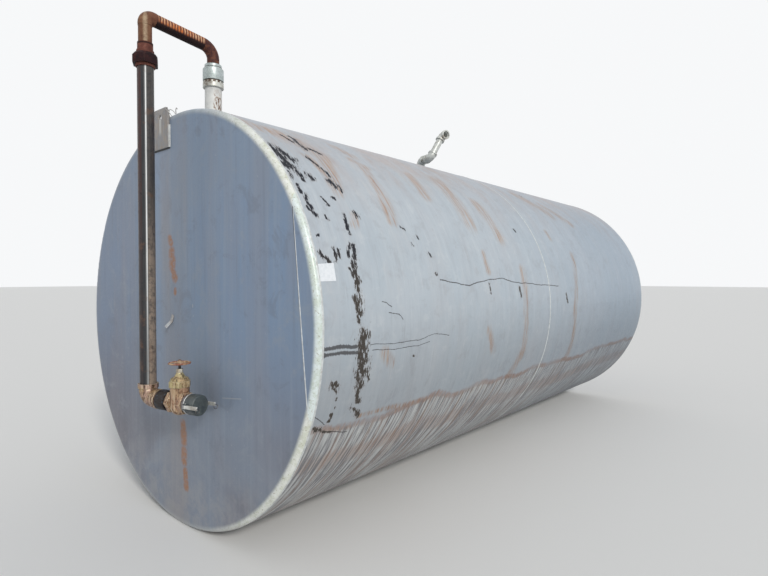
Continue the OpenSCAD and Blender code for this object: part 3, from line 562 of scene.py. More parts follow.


# Silver painted weld with its ripples. On the end's seam the side of the bead turned from the light is
# painted dark as shade, and on the lug's weld the part below the lug's foot is painted black as its shadow
def weld_paint(name, painted_shade_side=False, foot=None):
    s = Shader(name)
    ripple = s.noise(150, 3, 0.6)
    lumps = s.noise(34, 4, 0.6)
    col = s.mix(s.span(lumps, 0.38, 0.64), (0.66, 0.69, 0.69), (0.50, 0.52, 0.52))
    col = s.lay(col, s.noise(55, 5, 0.7), 0.58, 0.70, 0.6, (0.30, 0.20, 0.13))
    if painted_shade_side:
        # Painted shade on the side of the seam's bead turned from the light
        x, _, z = s.xyz()
        cross = s.sub(x, s.mul(s.sub(z, AZ), SEAM_SLOPE))
        dark = s.span(cross, SEAM_X - 0.0006, SEAM_X - 0.0016)
        col = s.mix(s.mul(dark, 0.9), col, (0.05, 0.06, 0.08))
    if foot is not None:
        # Painted shadow: black below the lug's foot
        under = s.span(s.xyz()[2], foot + 0.001, foot - 0.001)
        col = s.mix(under, col, (0.012, 0.012, 0.014))
    return s.done(col, 0.15, 0.40, s.bump(s.add(ripple, s.mul(lumps, 0.8)), 0.55, 0.0018))


def lug_paint():
    s = Shader("lug_paint")
    round_normal, worn = s.soft_edge(0.004)
    x, _, z = s.xyz()
    n = s.noise(26, 6, 0.66)
    streak = s.drawn(s.combine(x, z, 0.0), (60, 6, 1), 5, 0.6)
    col = s.mix(s.span(n, 0.36, 0.64), (0.27, 0.275, 0.29), (0.33, 0.30, 0.27))
    col = s.lay(col, streak, 0.46, 0.66, 0.5, (0.25, 0.20, 0.165))
    hole_x = centre("lifting_lug", 0)
    drip = s.mul(s.window(x, hole_x - 0.008, hole_x + 0.010, 0.008),
                 s.span(z, LUG_HOLE_Z, LUG_HOLE_Z - 0.01), s.span(z, LUG_HOLE_Z - 0.12, LUG_HOLE_Z - 0.08))
    col = s.mix(s.mul(drip, 0.75), col, (0.50, 0.50, 0.48))
    col = s.mix(s.mul(worn, s.span(n, 0.30, 0.5)), col, (0.60, 0.61, 0.60))
    return s.done(col, 0.1, 0.52, s.bump(n, 0.35, 0.0012, round_normal))


# Rusted steel: bands, where given, add a piece's own marks to its colour, and on the overhead run also its
# painted light and shade; shine, where given, adds a painted highlight
def rusty(name, stops, scale=40.0, rough=0.62, edge=0.002, bands=None, shine=None):
    s = Shader(name)
    round_normal, worn = s.soft_edge(edge)
    n = s.noise(scale, 8, 0.7, warp=0.4)
    m = s.noise(scale * 0.22, 5, 0.6)
    pit = s.cells(scale * 6)
    col = s.ramp(s.add(s.mul(n, 0.6), s.mul(m, 0.4)), stops)
    if bands is not None:
        col = bands(s, col)
    col = s.mix(s.mul(worn, 0.5), col, s.mix(0.5, col, (0.30, 0.17, 0.11)))
    if shine is not None:
        col = shine(s, col, n)
    normal = s.bump(s.add(n, s.mul(pit, 0.35)), 0.50, 0.0016, round_normal)
    return s.done(col, 0.0, s.span(n, 0.3, 0.7, rough - 0.08, rough + 0.1), normal, 0.14)


# Orange and cream cross bands of rust on the upper side of the overhead pipe, which is painted as lit,
# with painted shade below
def overhead_bands(s, col):
    x, y, z = s.xyz()
    mid_z = s.add(OVER_Z, s.mul(s.sub(y, RISER_Y), -OVER_SLOPE))
    height = s.sub(z, mid_z)
    wobble = s.mul(s.sub(s.noise(30, 3, 0.5), 0.5), 0.012)
    phase = s.mul(s.add(y, wobble, s.mul(x, 0.25)), 2 * math.pi / 0.0175)
    band = s.math("SINE", phase)
    patch = s.noise(24, 4, 0.6)
    straight = s.mul(s.span(y, RISER_Y + 0.055, RISER_Y + 0.075), s.span(y, STUB_Y - 0.01, STUB_Y - 0.06))
    # The upper side is painted as lit, and takes the bands
    lit = s.mul(s.span(s.add(height, s.mul(s.sub(patch, 0.5), 0.02)), -0.020, -0.004), straight)
    col = s.mix(s.mul(lit, 0.55), col, (0.20, 0.075, 0.05))
    orange = s.mul(s.span(s.add(band, s.mul(s.sub(patch, 0.5), 4.5)), -0.25, 0.45), lit)
    col = s.mix(s.mul(orange, 0.95), col, (0.56, 0.165, 0.045))
    cream = s.mul(s.span(s.add(band, s.mul(s.sub(patch, 0.5), -5.0)), 0.50, 0.95), lit)
    col = s.mix(s.mul(cream, 0.80), col, (0.62, 0.42, 0.26))
    # Painted shade: the underside darkened almost to black
    return s.lay(col, height, -0.006, -0.022, 0.90, (0.014, 0.009, 0.011))


# Dark ring at the top of the union's upper collar, where the pipe goes in
def dark_ring(s, col):
    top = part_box("union_upper")[1].z
    ring = s.window(s.xyz()[2], top - 0.011, top - 0.004, 0.003)
    return s.mix(s.mul(ring, 0.85), col, (0.016, 0.007, 0.007))


# Warm highlight down the side that faces the light
def cream_side(s, col, n):
    turn, _ = s.turn_and_height(RISER_Y)
    lit = s.mul(s.window(turn, -0.50, -0.34, 0.42), s.span(n, 0.34, 0.60, 0.30, 1.0))
    col = s.mix(s.mul(lit, 0.70), col, (0.50, 0.39, 0.26))
    red = s.window(turn, 0.45, 1.6, 0.25)
    return s.mix(s.mul(red, 0.35), col, (0.13, 0.035, 0.03))


# Black iron riser: reddish down its left, with a painted highlight and a grey painted sheen round it down
# the side that faces the light
def riser_iron():
    s = Shader("riser_iron")
    turn, z = s.turn_and_height(RISER_Y)
    around = s.combine(s.mul(turn, 0.044), z, 0.0)
    n = s.noise(38, 7, 0.68)
    streak = s.drawn(around, (240, 5.0, 1), 6, 0.66)
    col = s.mix(s.span(streak, 0.36, 0.66), (0.016, 0.018, 0.022), (0.048, 0.048, 0.050))
    left = s.mul(s.window(turn, -1.75, -1.10, 0.18), s.span(z, 1.35, 2.15, 0.25, 1.0))
    col = s.mix(s.mul(left, s.span(n, 0.30, 0.58, 0.4, 1.0)), col, (0.052, 0.021, 0.018))
    # Painted sheen: a grey band round the highlight
    grey = s.window(turn, -0.58, -0.38, 0.10)
    col = s.mix(s.mul(grey, 0.6), col, (0.19, 0.20, 0.205))
    # Painted highlight: a near-white stripe, fainter low down
    painted_highlight = s.window(turn, -0.49, -0.41, 0.045)
    painted_highlight = s.mul(painted_highlight, s.span(z, 0.95, 1.70, 0.25, 1.0))
    col = s.mix(s.mul(painted_highlight, s.span(streak, 0.30, 0.5, 0.45, 1.0), 0.95), col, (0.88, 0.88, 0.87))
    lower = s.span(z, 2.05, 1.35)
    tan = s.mul(s.window(turn, -0.20, 0.95, 0.22), s.span(n, 0.32, 0.60, 0.25, 1.0),
                s.add(s.mul(lower, 0.75), 0.12))
    col = s.mix(s.mul(tan, 0.90), col, (0.34, 0.265, 0.205))
    rust = s.mul(s.span(s.noise(11, 6, 0.7), 0.54, 0.68), 0.6)
    col = s.mix(rust, col, (0.12, 0.065, 0.04))
    normal = s.bump(s.add(n, s.mul(streak, 0.7)), 0.30, 0.0010)
    return s.done(col, 0.0, s.span(n, 0.3, 0.7, 0.26, 0.44), normal, 0.35)


# Hot-dip zinc with faint greenish grey spangle; line is the height of a dark line painted round it as
# shade at a step
def zinc(name, base, dark, stain=None, line=None):
    s = Shader(name)
    round_normal, worn = s.soft_edge(0.003)
    spangle = s.cells(95)
    n = s.noise(30, 6, 0.65)
    col = s.mix(s.span(n, 0.36, 0.64), base, dark)
    col = s.lay(col, spangle, 0.2, 0.6, 0.25, (0.72, 0.76, 0.74))
    col = s.mix(s.mul(worn, 0.6), col, (0.82, 0.84, 0.82))
    if stain is not None:
        col = s.lay(col, s.noise(17, 6, 0.7), 0.50, 0.66, 0.75, stain)
    if line is not None:
        # Painted shade: a dark line round the step under the coupling's lip
        seam = s.window(s.xyz()[2], line - 0.0015, line + 0.0015, 0.0015)
        col = s.mix(s.mul(seam, 0.85), col, (0.05, 0.055, 0.05))
    normal = s.bump(s.add(n, s.mul(spangle, 0.4)), 0.3, 0.0010, round_normal)
    return s.done(col, 0.35, s.span(n, 0.3, 0.7, 0.34, 0.5), normal)


def chipped_white():
    s = Shader("chipped_white")
    round_normal, worn = s.soft_edge(0.003)
    turn, z = s.turn_and_height(STUB_Y)
    around = s.combine(s.mul(turn, 0.05), z, 0.0)
    n = s.noise(44, 6, 0.66)
    grain = s.drawn(around, (95, 38, 1), 6, 0.72)
    col = s.mix(s.span(s.noise(9, 4, 0.6), 0.38, 0.62), (0.74, 0.75, 0.73), (0.60, 0.61, 0.60))
    col = s.lay(col, n, 0.58, 0.70, 0.5, (0.40, 0.40, 0.38))
    chipped_side = s.window(turn, -0.42, 0.55, 0.22)
    chips = s.mul(s.span(grain, 0.535, 0.575), chipped_side, s.span(z, TOP + 0.20, TOP + 0.11))
    halo = s.mul(s.span(grain, 0.47, 0.54), chipped_side, s.span(z, TOP + 0.21, TOP + 0.11))
    col = s.mix(s.mul(halo, 0.6), col, (0.42, 0.26, 0.15))
    col = s.mix(chips, col, (0.10, 0.040, 0.022))
    col = s.mix(s.mul(worn, s.span(n, 0.4, 0.6), 0.5), col, (0.20, 0.13, 0.09))
    normal = s.bump(s.add(n, s.mul(chips, -0.8)), 0.4, 0.0012, round_normal)
    return s.done(col, 0.0, s.span(n, 0.3, 0.7, 0.36, 0.54), normal)


# Cast bronze: yellowish where rubbed, pinkish and dark in the hollows
def bronze(name, base, stain, pink):
    s = Shader(name)
    round_normal, worn = s.soft_edge(0.004)
    n = s.noise(36, 7, 0.7, warp=0.5)
    m = s.noise(14, 5, 0.62)
    col = s.mix(s.span(m, 0.38, 0.62), base, pink)
    col = s.lay(col, n, 0.47, 0.58, 0.85, stain)
    drip = s.drawn(s.obj, (95, 95, 10), 5, 0.65)
    col = s.lay(col, drip, 0.53, 0.62, 0.85, (0.050, 0.024, 0.014))
    col = s.lay(col, drip, 0.45, 0.36, 0.60, (0.66, 0.56, 0.40))
    col = s.mix(s.mul(worn, 0.70), col, (0.80, 0.70, 0.50))
    normal = s.bump(s.add(n, s.mul(m, 0.6)), 0.45, 0.0016, round_normal)
    return s.done(col, 0.30, s.span(n, 0.3, 0.7, 0.34, 0.52), normal)


def wheel_enamel():
    s = Shader("wheel_enamel")
    round_normal, worn = s.soft_edge(0.003)
    n = s.noise(60, 6, 0.7)
    m = s.noise(22, 4, 0.6)
    col = s.mix(s.span(m, 0.40, 0.60), (0.26, 0.085, 0.05), (0.44, 0.30, 0.18))
    col = s.lay(col, n, 0.54, 0.62, 0.85, (0.66, 0.60, 0.48))
    col = s.lay(col, n, 0.44, 0.36, 0.8, (0.07, 0.035, 0.025))
    col = s.mix(s.mul(worn, 0.5), col, (0.60, 0.40, 0.28))
    return s.done(col, 0.0, 0.5, s.bump(n, 0.5, 0.0015, round_normal))


# Plain metals and plastics with their grain, edge wear and dirt
def worked(name, base, dirt, edge_col, rough, metal, scale=60.0, radius=0.002, spec=0.5):
    s = Shader(name)
    round_normal, worn = s.soft_edge(radius)
    n = s.noise(scale, 6, 0.66)
    m = s.noise(scale * 0.25, 4, 0.6)
    streak = s.drawn(s.obj, (45, 45, 260), 5, 0.66)
    col = s.mix(s.span(m, 0.38, 0.62), base, dirt)
    col = s.lay(col, streak, 0.54, 0.68, 0.45, edge_col)
    col = s.mix(s.mul(worn, 0.8), col, edge_col)
    normal = s.bump(s.add(n, s.mul(streak, 0.5)), 0.35, 0.0010, round_normal)
    return s.done(col, metal, s.span(n, 0.3, 0.7, rough - 0.06, rough + 0.1), normal, spec)


# The look that each node gets: for worked metal the base, the dirt and the worn edges,
# then roughness and metal
THREAD = worked("oiled_thread", (0.05, 0.04, 0.035), (0.10, 0.06, 0.04), (0.34, 0.30, 0.25), 0.4, 0.3)
RUST_STOPS = ((0.38, (0.022, 0.010, 0.014)), (0.48, (0.070, 0.028, 0.026)), (0.59, (0.18, 0.072, 0.042)),
              (0.74, (0.36, 0.19, 0.10)))
RED_STOPS = ((0.34, (0.007, 0.004, 0.005)), (0.48, (0.020, 0.007, 0.009)), (0.62, (0.055, 0.017, 0.015)),
             (0.76, (0.16, 0.060, 0.040)))
COLLAR_STOPS = ((0.30, (0.045, 0.015, 0.014)), (0.50, (0.135, 0.048, 0.036)), (0.72, (0.27, 0.12, 0.085)))
BROWN_STOPS = ((0.28, (0.055, 0.022, 0.014)), (0.46, (0.150, 0.070, 0.040)), (0.62, (0.235, 0.125, 0.070)),
               (0.78, (0.33, 0.21, 0.12)))
VENT_ZINC = zinc("vent_zinc", (0.56, 0.58, 0.56), (0.38, 0.39, 0.37), (0.24, 0.18, 0.13))
BRASS_OLD = bronze("bronze_elbow", (0.40, 0.27, 0.14), (0.13, 0.075, 0.04), (0.44, 0.29, 0.24))
BRASS_RUBBED = bronze("bronze_bonnet", (0.48, 0.42, 0.22), (0.24, 0.15, 0.07), (0.47, 0.34, 0.19))
BRASS_BODY = bronze("bronze_body", (0.44, 0.30, 0.18), (0.17, 0.085, 0.045), (0.42, 0.25, 0.16))
CAM_STEEL = worked("cam_steel", (0.66, 0.66, 0.63), (0.40, 0.38, 0.34), (0.88, 0.88, 0.86), 0.30, 0.6)
RING_STEEL = worked("ring_steel", (0.05, 0.05, 0.05), (0.12, 0.10, 0.09), (0.5, 0.5, 0.5), 0.35, 0.6)
SEGMENT_TINT = (0.93, 1.0, 1.06)
LOOKS = {
    "front_shell": shell_paint("shell_paint_front", 0.0, 2.6),
    "rear_shell": shell_paint("shell_paint_rear", 2.4, 6.0),
    "ring_welds": weld_paint("ring_weld_paint"),
    "head_seams": weld_paint("seam_weld_paint", painted_shade_side=True),
    # The lug's weld is painted black below the lug's foot as its shadow
    "lug_weld": weld_paint("lug_weld_paint", foot=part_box("lifting_lug")[0].z),
    "front_head": head_paint("front_head_paint", True),
    "front_head_segment": head_paint("front_segment_paint", True, SEGMENT_TINT),
    "rear_head": head_paint("rear_head_paint", False),
    "rear_head_segment": head_paint("rear_segment_paint", False, SEGMENT_TINT),
    "lifting_lug": lug_paint(),
    "head_clip": worked("clip_paint", (0.50, 0.53, 0.55), (0.33, 0.30, 0.28),
                        (0.80, 0.81, 0.80), 0.45, 0.2),
    "fill_stub": chipped_white(),
    "fill_stub_weld": chipped_white(),
    "fill_collar": zinc("collar_zinc", (0.66, 0.67, 0.62), (0.44, 0.43, 0.38), (0.14, 0.10, 0.07)),
    # Its dark line is painted shade at the step under the lip
    "fill_coupling": zinc("coupling_zinc", (0.44, 0.50, 0.51), (0.31, 0.37, 0.365),
                          line=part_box("fill_coupling")[1].z - 0.017),
    "overhead_bend": rusty("bend_rust", RUST_STOPS, 42),
    "overhead_run": rusty("run_rust", RUST_STOPS, 42, bands=overhead_bands),
    "top_elbow": rusty("elbow_rust", BROWN_STOPS, 30, 0.5, shine=cream_side),
    "upper_leg": rusty("leg_rust", BROWN_STOPS, 30, 0.5, shine=cream_side),
    "union_upper": rusty("collar_rust", COLLAR_STOPS, 30, bands=dark_ring),
    "union_nut": rusty("nut_rust", RED_STOPS, 26, 0.5, 0.004),
    "union_lower": rusty("lower_collar_rust", COLLAR_STOPS, 30),
    "riser_pipe": riser_iron(),
    "bottom_elbow": BRASS_OLD,
    "line_nipples": THREAD,
    # The black iron's bluish edges are a painted highlight
    "line_coupling": worked("black_iron", (0.014, 0.014, 0.017), (0.035, 0.028, 0.026),
                            (0.16, 0.22, 0.28), 0.42, 0.1, spec=0.2),
    "valve_body": BRASS_BODY,
    "valve_bonnet": BRASS_RUBBED,
    "packing_nut": bronze("bronze_packing", (0.58, 0.57, 0.50), (0.30, 0.24, 0.17), (0.62, 0.55, 0.44)),
    "valve_stem": worked("black_stem", (0.015, 0.014, 0.014), (0.03, 0.025, 0.022),
                         (0.20, 0.19, 0.18), 0.35, 0.4),
    "handwheel": wheel_enamel(),
    "wheel_nut": worked("wheel_nut_steel", (0.34, 0.22, 0.15), (0.20, 0.10, 0.06),
                        (0.55, 0.45, 0.36), 0.45, 0.3),
    # The adapter's bright edges are partly edge wear and partly a painted highlight
    "hose_adapter": worked("adapter_metal", (0.30, 0.30, 0.31), (0.10, 0.08, 0.08),
                           (0.82, 0.83, 0.82), 0.36, 0.45),
    "dust_cap": worked("cap_plastic", (0.040, 0.050, 0.056), (0.075, 0.090, 0.090),
                       (0.17, 0.20, 0.20), 0.42, 0.0),
    "cam_pins": CAM_STEEL,
    "front_cam_arm": CAM_STEEL,
    "rear_cam_arm": CAM_STEEL,
    "front_pull_ring": RING_STEEL,
    "rear_pull_ring": RING_STEEL,
    "vent_socket": VENT_ZINC,
    "vent_nipples": VENT_ZINC,
    "vent_elbows": VENT_ZINC,
    "vent_pipe": zinc("vent_pipe_zinc", (0.62, 0.64, 0.62), (0.44, 0.45, 0.43), (0.30, 0.27, 0.22)),
    "vent_outlet": zinc("vent_outlet_zinc", (0.70, 0.71, 0.68), (0.48, 0.48, 0.45), (0.26, 0.19, 0.13)),
}

for name, look in LOOKS.items():
    NODES[name].data.materials.clear()
    NODES[name].data.materials.append(look)


# New pieces
def add_piece(name, bm, look, body, smooth_angle=35):
    me = bpy.data.meshes.new(name)
    bmesh.ops.recalc_face_normals(bm, faces=bm.faces)
    bm.to_mesh(me)
    bm.free()
    for poly in me.polygons:
        poly.use_smooth = True
    me.set_sharp_from_angle(angle=math.radians(smooth_angle))
    me.materials.append(look)
    obj = bpy.data.objects.new(name, me)
    bpy.context.scene.collection.objects.link(obj)
    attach(obj, body)
    return obj


# A node's own mesh with its sharp edges rounded over
def rounded_copy(node, width, body="tank", segments=3, angle=32):
    bm = bmesh.new()
    bm.from_mesh(NODES[node].data)
    bmesh.ops.remove_doubles(bm, verts=bm.verts, dist=0.00002)
    bmesh.ops.dissolve_limit(bm, angle_limit=math.radians(0.6), verts=bm.verts, edges=bm.edges)
    sharp = [e for e in bm.edges if e.is_manifold and e.calc_face_angle() > math.radians(angle)]
    bmesh.ops.bevel(bm, geom=sharp, offset=width, offset_type="OFFSET", segments=segments, profile=0.5,
                    affect="EDGES", clamp_overlap=True)
    obj = add_piece(node + "_rounded", bm, LOOKS[node], body, 30)
    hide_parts(node)
    return obj


# Point at an angle and a radius about the Z axis
def about(a, r, h=0.0):
    return Vector((r * math.cos(a), r * math.sin(a), h))


# Faces between rings of vertices, which either close on themselves or end in caps
def skin(bm, rings, closed=False):
    for one, two in zip(rings, rings[1:] + rings[:1] if closed else rings[1:]):
        for j in range(len(one)):
            k = (j + 1) % len(one)
            bm.faces.new((one[j], one[k], two[k], two[j]))
    if not closed:
        bm.faces.new(rings[0])
        bm.faces.new(rings[-1])


# Closed ring of a profile turned about Z, with points (radius, height) going round it
def turned(bm, profile, count, place=Matrix.Identity(4)):
    rings = []
    for i in range(count):
        a = 2 * math.pi * i / count
        rings.append([bm.verts.new(place @ about(a, r, h)) for r, h in profile])
    skin(bm, rings, closed=True)


# Ring of vertices round a point, in the plane of two directions as long as the ring's radii
def hoop(bm, point, side, up, count):
    turns = [2 * math.pi * k / count for k in range(count)]
    return [bm.verts.new(point + side * math.cos(a) + up * math.sin(a)) for a in turns]


# Sleeve of thread ridges, from height 0 to the length given
def thread_sleeve(bm, inner, outer, length, pitch, place):
    count = max(2, round(length / pitch))
    step = length / count
    profile = [(inner, 0.0)]
    for i in range(count):
        profile.append((outer - 0.0012, i * step + 0.0001))
        profile.append((outer, (i + 0.5) * step))
    profile.append((outer - 0.0012, length - 0.0001))
    profile.append((inner, length))
    turned(bm, profile, 72, place)


# The valve line's start in the riser and its direction
LINE_START = Vector((0, RISER_Y, VALVE.z))
LINE_WAY = about(CLOCK, 1)


# Frame whose Z axis lies along the valve line, at a distance from its start
def line_place(x):
    turn = Matrix.Rotation(CLOCK, 4, "Z") @ Matrix.Rotation(math.pi / 2, 4, "Y")
    return Matrix.Translation(LINE_START + LINE_WAY * x) @ turn


# Distance along the valve line of a node's nearer and farther end
def line_reach(node):
    dots = [(v.co - LINE_START).dot(LINE_WAY) for v in NODES[node].data.vertices]
    return min(dots), max(dots)


# Thread ridges in the two open gaps of the valve line
def pipe_threads():
    pitch, gap, ridge = 0.0032, 0.0002, 0.0022
    left, right = line_reach("line_coupling")
    bm = bmesh.new()
    for start, end in ((line_reach("bottom_elbow")[1], left), (right, line_reach("valve_body")[0])):
        length = end - start - 2 * gap
        thread_sleeve(bm, PIPE_R + gap, PIPE_R + ridge, length, pitch, line_place(start + gap))
    add_piece("line_threads", bm, THREAD, "tank")


# Lock ring under the coupling, with notches cut in its upper edge and dirt behind them
def notched_collar():
    low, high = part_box("fill_collar")
    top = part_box("fill_coupling")[0].z - 0.0006
    outer, inner, deep, slot = (high.x - low.x) / 2, 0.0512, 0.017, 0.0065
    shoulder = top - deep
    place = Matrix.Translation((0, STUB_Y, 0))
    bm = bmesh.new()
    turned(bm, [(inner, low.z), (outer - 0.003, low.z), (outer, low.z + 0.003), (outer, shoulder),
                (inner, shoulder)], 96, place)
    near, far, crest = inner + 0.003, outer - 0.0005, top - slot
    teeth, steps = 14, 5
    for i in range(teeth):
        cuts = []
        for k in range(steps + 1):
            a = 2 * math.pi * (i + 0.30 + 0.42 * k / steps) / teeth
            corners = ((near, shoulder), (far, shoulder), (far, crest), (near, crest))
            cuts.append([bm.verts.new(place @ about(a, r, h)) for r, h in corners])
        skin(bm, cuts)
    obj = add_piece("notched_collar", bm, LOOKS["fill_collar"], "tank")
    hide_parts("fill_collar")
    dirt = bmesh.new()
    back, front, foot = inner - 0.0002, inner + 0.0045, shoulder + 0.0002
    turned(dirt, [(back, foot), (front, foot), (front, top), (back, top)], 72, place)
    add_piece("collar_dirt", dirt, THREAD, "tank")


# Rim of the hose adapter, showing at the edge of the cap, coloured near-white as a painted highlight
def adapter_rim():
    start = line_reach("dust_cap")[0]
    cap_r = spread("dust_cap", 2) / 2
    bm = bmesh.new()
    profile = [(cap_r - 0.014, -0.0030), (cap_r - 0.001, -0.0030), (cap_r + 0.0006, -0.0012),
               (cap_r + 0.0006, 0.0016), (cap_r - 0.001, 0.0028), (cap_r - 0.014, 0.0028)]
    turned(bm, profile, 96, line_place(start - 0.0034))
    # The near-white colour stands in for a highlight on the rim
    look = worked("bright_rim", (0.74, 0.75, 0.74), (0.46, 0.45, 0.43), (0.90, 0.90, 0.89), 0.34, 0.35)
    add_piece("adapter_rim", bm, look, "tank")


# Short bend at the top of the riser. The pipe turns about the inner corner, so that its outside
# is rounded over.
def throat_bend():
    low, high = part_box("top_elbow")
    r = spread("top_elbow", 0) / 2
    a = math.atan(OVER_SLOPE)
    side = Vector((r, 0, 0))
    mid = Vector((0, RISER_Y, OVER_Z))
    run = Vector((0, math.cos(a), -math.sin(a)))
    up = Vector((0, math.sin(a), math.cos(a)))
    throat = mid + run * (r * (1 + math.sin(a)) / math.cos(a)) - up * r
    around, steps = 64, 14
    bm = bmesh.new()
    rings = [hoop(bm, Vector((0, RISER_Y, low.z + 0.0004)), side, Vector((0, -r, 0)), around)]
    for i in range(steps + 1):
        turn = (math.pi / 2 + a) * i / steps
        across = Vector((0, -math.cos(turn), math.sin(turn)))
        rings.append(hoop(bm, throat + across * (r + 0.0005), side, across * r, around))
    end = (high.y - mid.y - r * math.sin(a)) / math.cos(a)
    rings.append(hoop(bm, mid + run * end, side, up * r, around))
    skin(bm, rings)
    obj = add_piece("throat_bend", bm, LOOKS["top_elbow"], "tank", 50)
    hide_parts("top_elbow")


# Weld beads with their ripples, worn flat where they meet the ground
def rippled_rings():
    bm = bmesh.new()
    steps, half, high, inset = 1500, 0.0062, 0.0021, 0.030
    shape = ((-1.0, 0.0), (-0.72, 0.58), (-0.36, 0.90), (0.0, 1.0), (0.36, 0.90), (0.72, 0.58), (1.0, 0.0))
    for k, mid in enumerate((FRONT + inset, FRONT + COURSE, REAR - inset)):
        rings = []
        for i in range(steps):
            a = 2 * math.pi * i / steps
            crest = 0.80 + 0.20 * math.sin(i * 2 * math.pi / 7.0 + 1.3 * math.sin(i * 0.11 + k))
            stray = 0.0006 * math.sin(i * 0.037 + 2 * k) + 0.0004 * math.sin(i * 0.21 + k)
            ring = []
            for across, rise in shape:
                reach = R + rise * high * crest
                x, z = reach * math.sin(a), AZ + reach * math.cos(a)
                ring.append(bm.verts.new((x, mid + stray + across * half, max(z, 0.0))))
            root = R - 0.001
            ring.append(bm.verts.new((root * math.sin(a), mid + stray, AZ + root * math.cos(a))))
            rings.append(ring)
        skin(bm, rings, closed=True)
    obj = add_piece("ring_weld_beads", bm, LOOKS["ring_welds"], "tank", 60)
    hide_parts("ring_welds")


# Malleable handwheel: a lobed rim, dished tapering spokes and a hub
def lobed_wheel():
    mid = Vector([centre("handwheel", axis) for axis in range(3)])
    hub_h = spread("handwheel", 2)
    wire, lobe = 0.0062, 0.0012
    rim_r = spread("handwheel", 0) / 2 - wire - lobe
    hub_r, bore = 0.0150, 0.0053
    bm = bmesh.new()
    around, across = 120, 14
    rings = []
    for i in range(around):
        a = 2 * math.pi * i / around
        point = mid + about(a, rim_r + lobe * math.cos(10 * a))
        rings.append(hoop(bm, point, about(a, wire), Vector((0, 0, wire * 0.85)), across))
    skin(bm, rings, closed=True)
    profile = [(bore, -hub_h / 2), (hub_r - 0.002, -hub_h / 2), (hub_r, -hub_h / 2 + 0.002),
               (hub_r, hub_h / 2 - 0.004), (hub_r - 0.004, hub_h / 2), (bore, hub_h / 2)]
    turned(bm, profile, 48, Matrix.Translation(mid))
    spokes, steps, sides = 5, 9, 10
    start = hub_r - 0.002
    for n in range(spokes):
        a = 2 * math.pi * n / spokes + CLOCK
        rings = []
        for i in range(steps):
            t = i / (steps - 1)
            rise = math.sin(math.pi * t)
            point = mid + about(a, start + (rim_r - start) * t, 0.004 * rise)
            rings.append(hoop(bm, point, about(a + math.pi / 2, 0.0078 - 0.0030 * rise),
                              Vector((0, 0, 0.0042)), sides))
        skin(bm, rings)
    obj = add_piece("lobed_handwheel", bm, LOOKS["handwheel"], "handwheel", 40)
    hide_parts("handwheel")


# Blank white lot tag stuck on the shell, with one corner lifting a little
def blank_tag():
    corners = [np.array(on_shell(px, py, 3)) for px, py in TAG_CORNERS]
    nu, nv, under, over = 6, 8, 0.0002, 0.0009
    bm = bmesh.new()
    rings = []
    for j in range(nv + 1):
        ring = []
        for i, lift in [(i, under) for i in range(nu + 1)] + [(i, over) for i in range(nu, -1, -1)]:
            s, t = i / nu, j / nv
            top = corners[0] * (1 - s) + corners[1] * s
            low = corners[3] * (1 - s) + corners[2] * s
            u, v = top * (1 - t) + low * t
            reach = R + lift + 0.0010 * (s * t) ** 4
            ring.append(bm.verts.new((reach * math.sin(v / R), FRONT + u, AZ + reach * math.cos(v / R))))
        rings.append(ring)
    skin(bm, rings)
    s = Shader("tag_paper")
    n = s.noise(60, 5, 0.6)
    col = s.mix(s.span(n, 0.35, 0.65), (0.80, 0.83, 0.87), (0.72, 0.76, 0.80))
    paper = s.done(col, 0.0, 0.45, s.bump(s.noise(25, 3, 0.5), 0.3, 0.001))
    add_piece("blank_tag", bm, paper, "tank")


# Smooth line through the points, with six steps from each to the next
def smooth_line(points):
    fine = []
    for i in range(len(points) - 1):
        p0, p1, p2, p3 = (points[min(max(k, 0), len(points) - 1)] for k in range(i - 1, i + 3))
        for k in range(6):
            t = k / 6
            fine.append(0.5 * ((2 * p1) + (p2 - p0) * t + (2 * p0 - 5 * p1 + 4 * p2 - p3) * t * t
                               + (3 * p1 - p0 - 3 * p2 + p3) * t ** 3))
    return fine + [points[-1]]


# Ends of old tie wire left round the lug's top corner
def tie_wire():
    base = Vector((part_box("lifting_lug")[1].x - 0.012, FRONT + 0.010, TOP - 0.006))
    routes = (
        ((0.0, 0, -0.01), (0.006, -0.012, 0.020), (0.030, -0.016, 0.034), (0.052, -0.006, 0.020),
         (0.060, 0.0, 0.006)),
        ((0.02, 0, 0.0), (0.012, -0.018, 0.026), (-0.006, -0.024, 0.040), (0.004, -0.020, 0.052)),
        ((0.07, 0.0, 0.004), (0.082, -0.008, 0.020), (0.096, -0.012, 0.030), (0.104, -0.010, 0.022)),
    )
    bm = bmesh.new()
    wire, sides = 0.0022, 8
    for route in routes:
        fine = smooth_line([base + Vector(p) for p in route])
        rings = []
        for i, p in enumerate(fine):
            way = (fine[min(i + 1, len(fine) - 1)] - fine[max(i - 1, 0)]).normalized()
            side = way.cross(Vector((0.3, 1, 0.2))).normalized()
            rings.append(hoop(bm, p, side * wire, way.cross(side) * wire, sides))
        skin(bm, rings)
    look = worked("tie_wire_steel", (0.55, 0.55, 0.53), (0.10, 0.06, 0.045), (0.80, 0.80, 0.78),
                  0.4, 0.4, 160)
    add_piece("tie_wire", bm, look, "tank")


pipe_threads()
notched_collar()
throat_bend()
adapter_rim()
rippled_rings()
lobed_wheel()
blank_tag()
tie_wire()

# Width of the rounded edges of each cast, forged or moulded node, in metres
ROUNDED = {"lifting_lug": 0.0015, "head_clip": 0.0008, "fill_coupling": 0.0022,
           "union_nut": 0.0045, "union_lower": 0.0025, "line_coupling": 0.003, "valve_bonnet": 0.003,
           "packing_nut": 0.0012, "dust_cap": 0.0015, "hose_adapter": 0.002}
for name, width in ROUNDED.items():
    rounded_copy(name, width)
rounded_copy("wheel_nut", 0.0008, "handwheel")
rounded_copy("front_cam_arm", 0.0018, "front_arm")
rounded_copy("rear_cam_arm", 0.0018, "rear_arm")


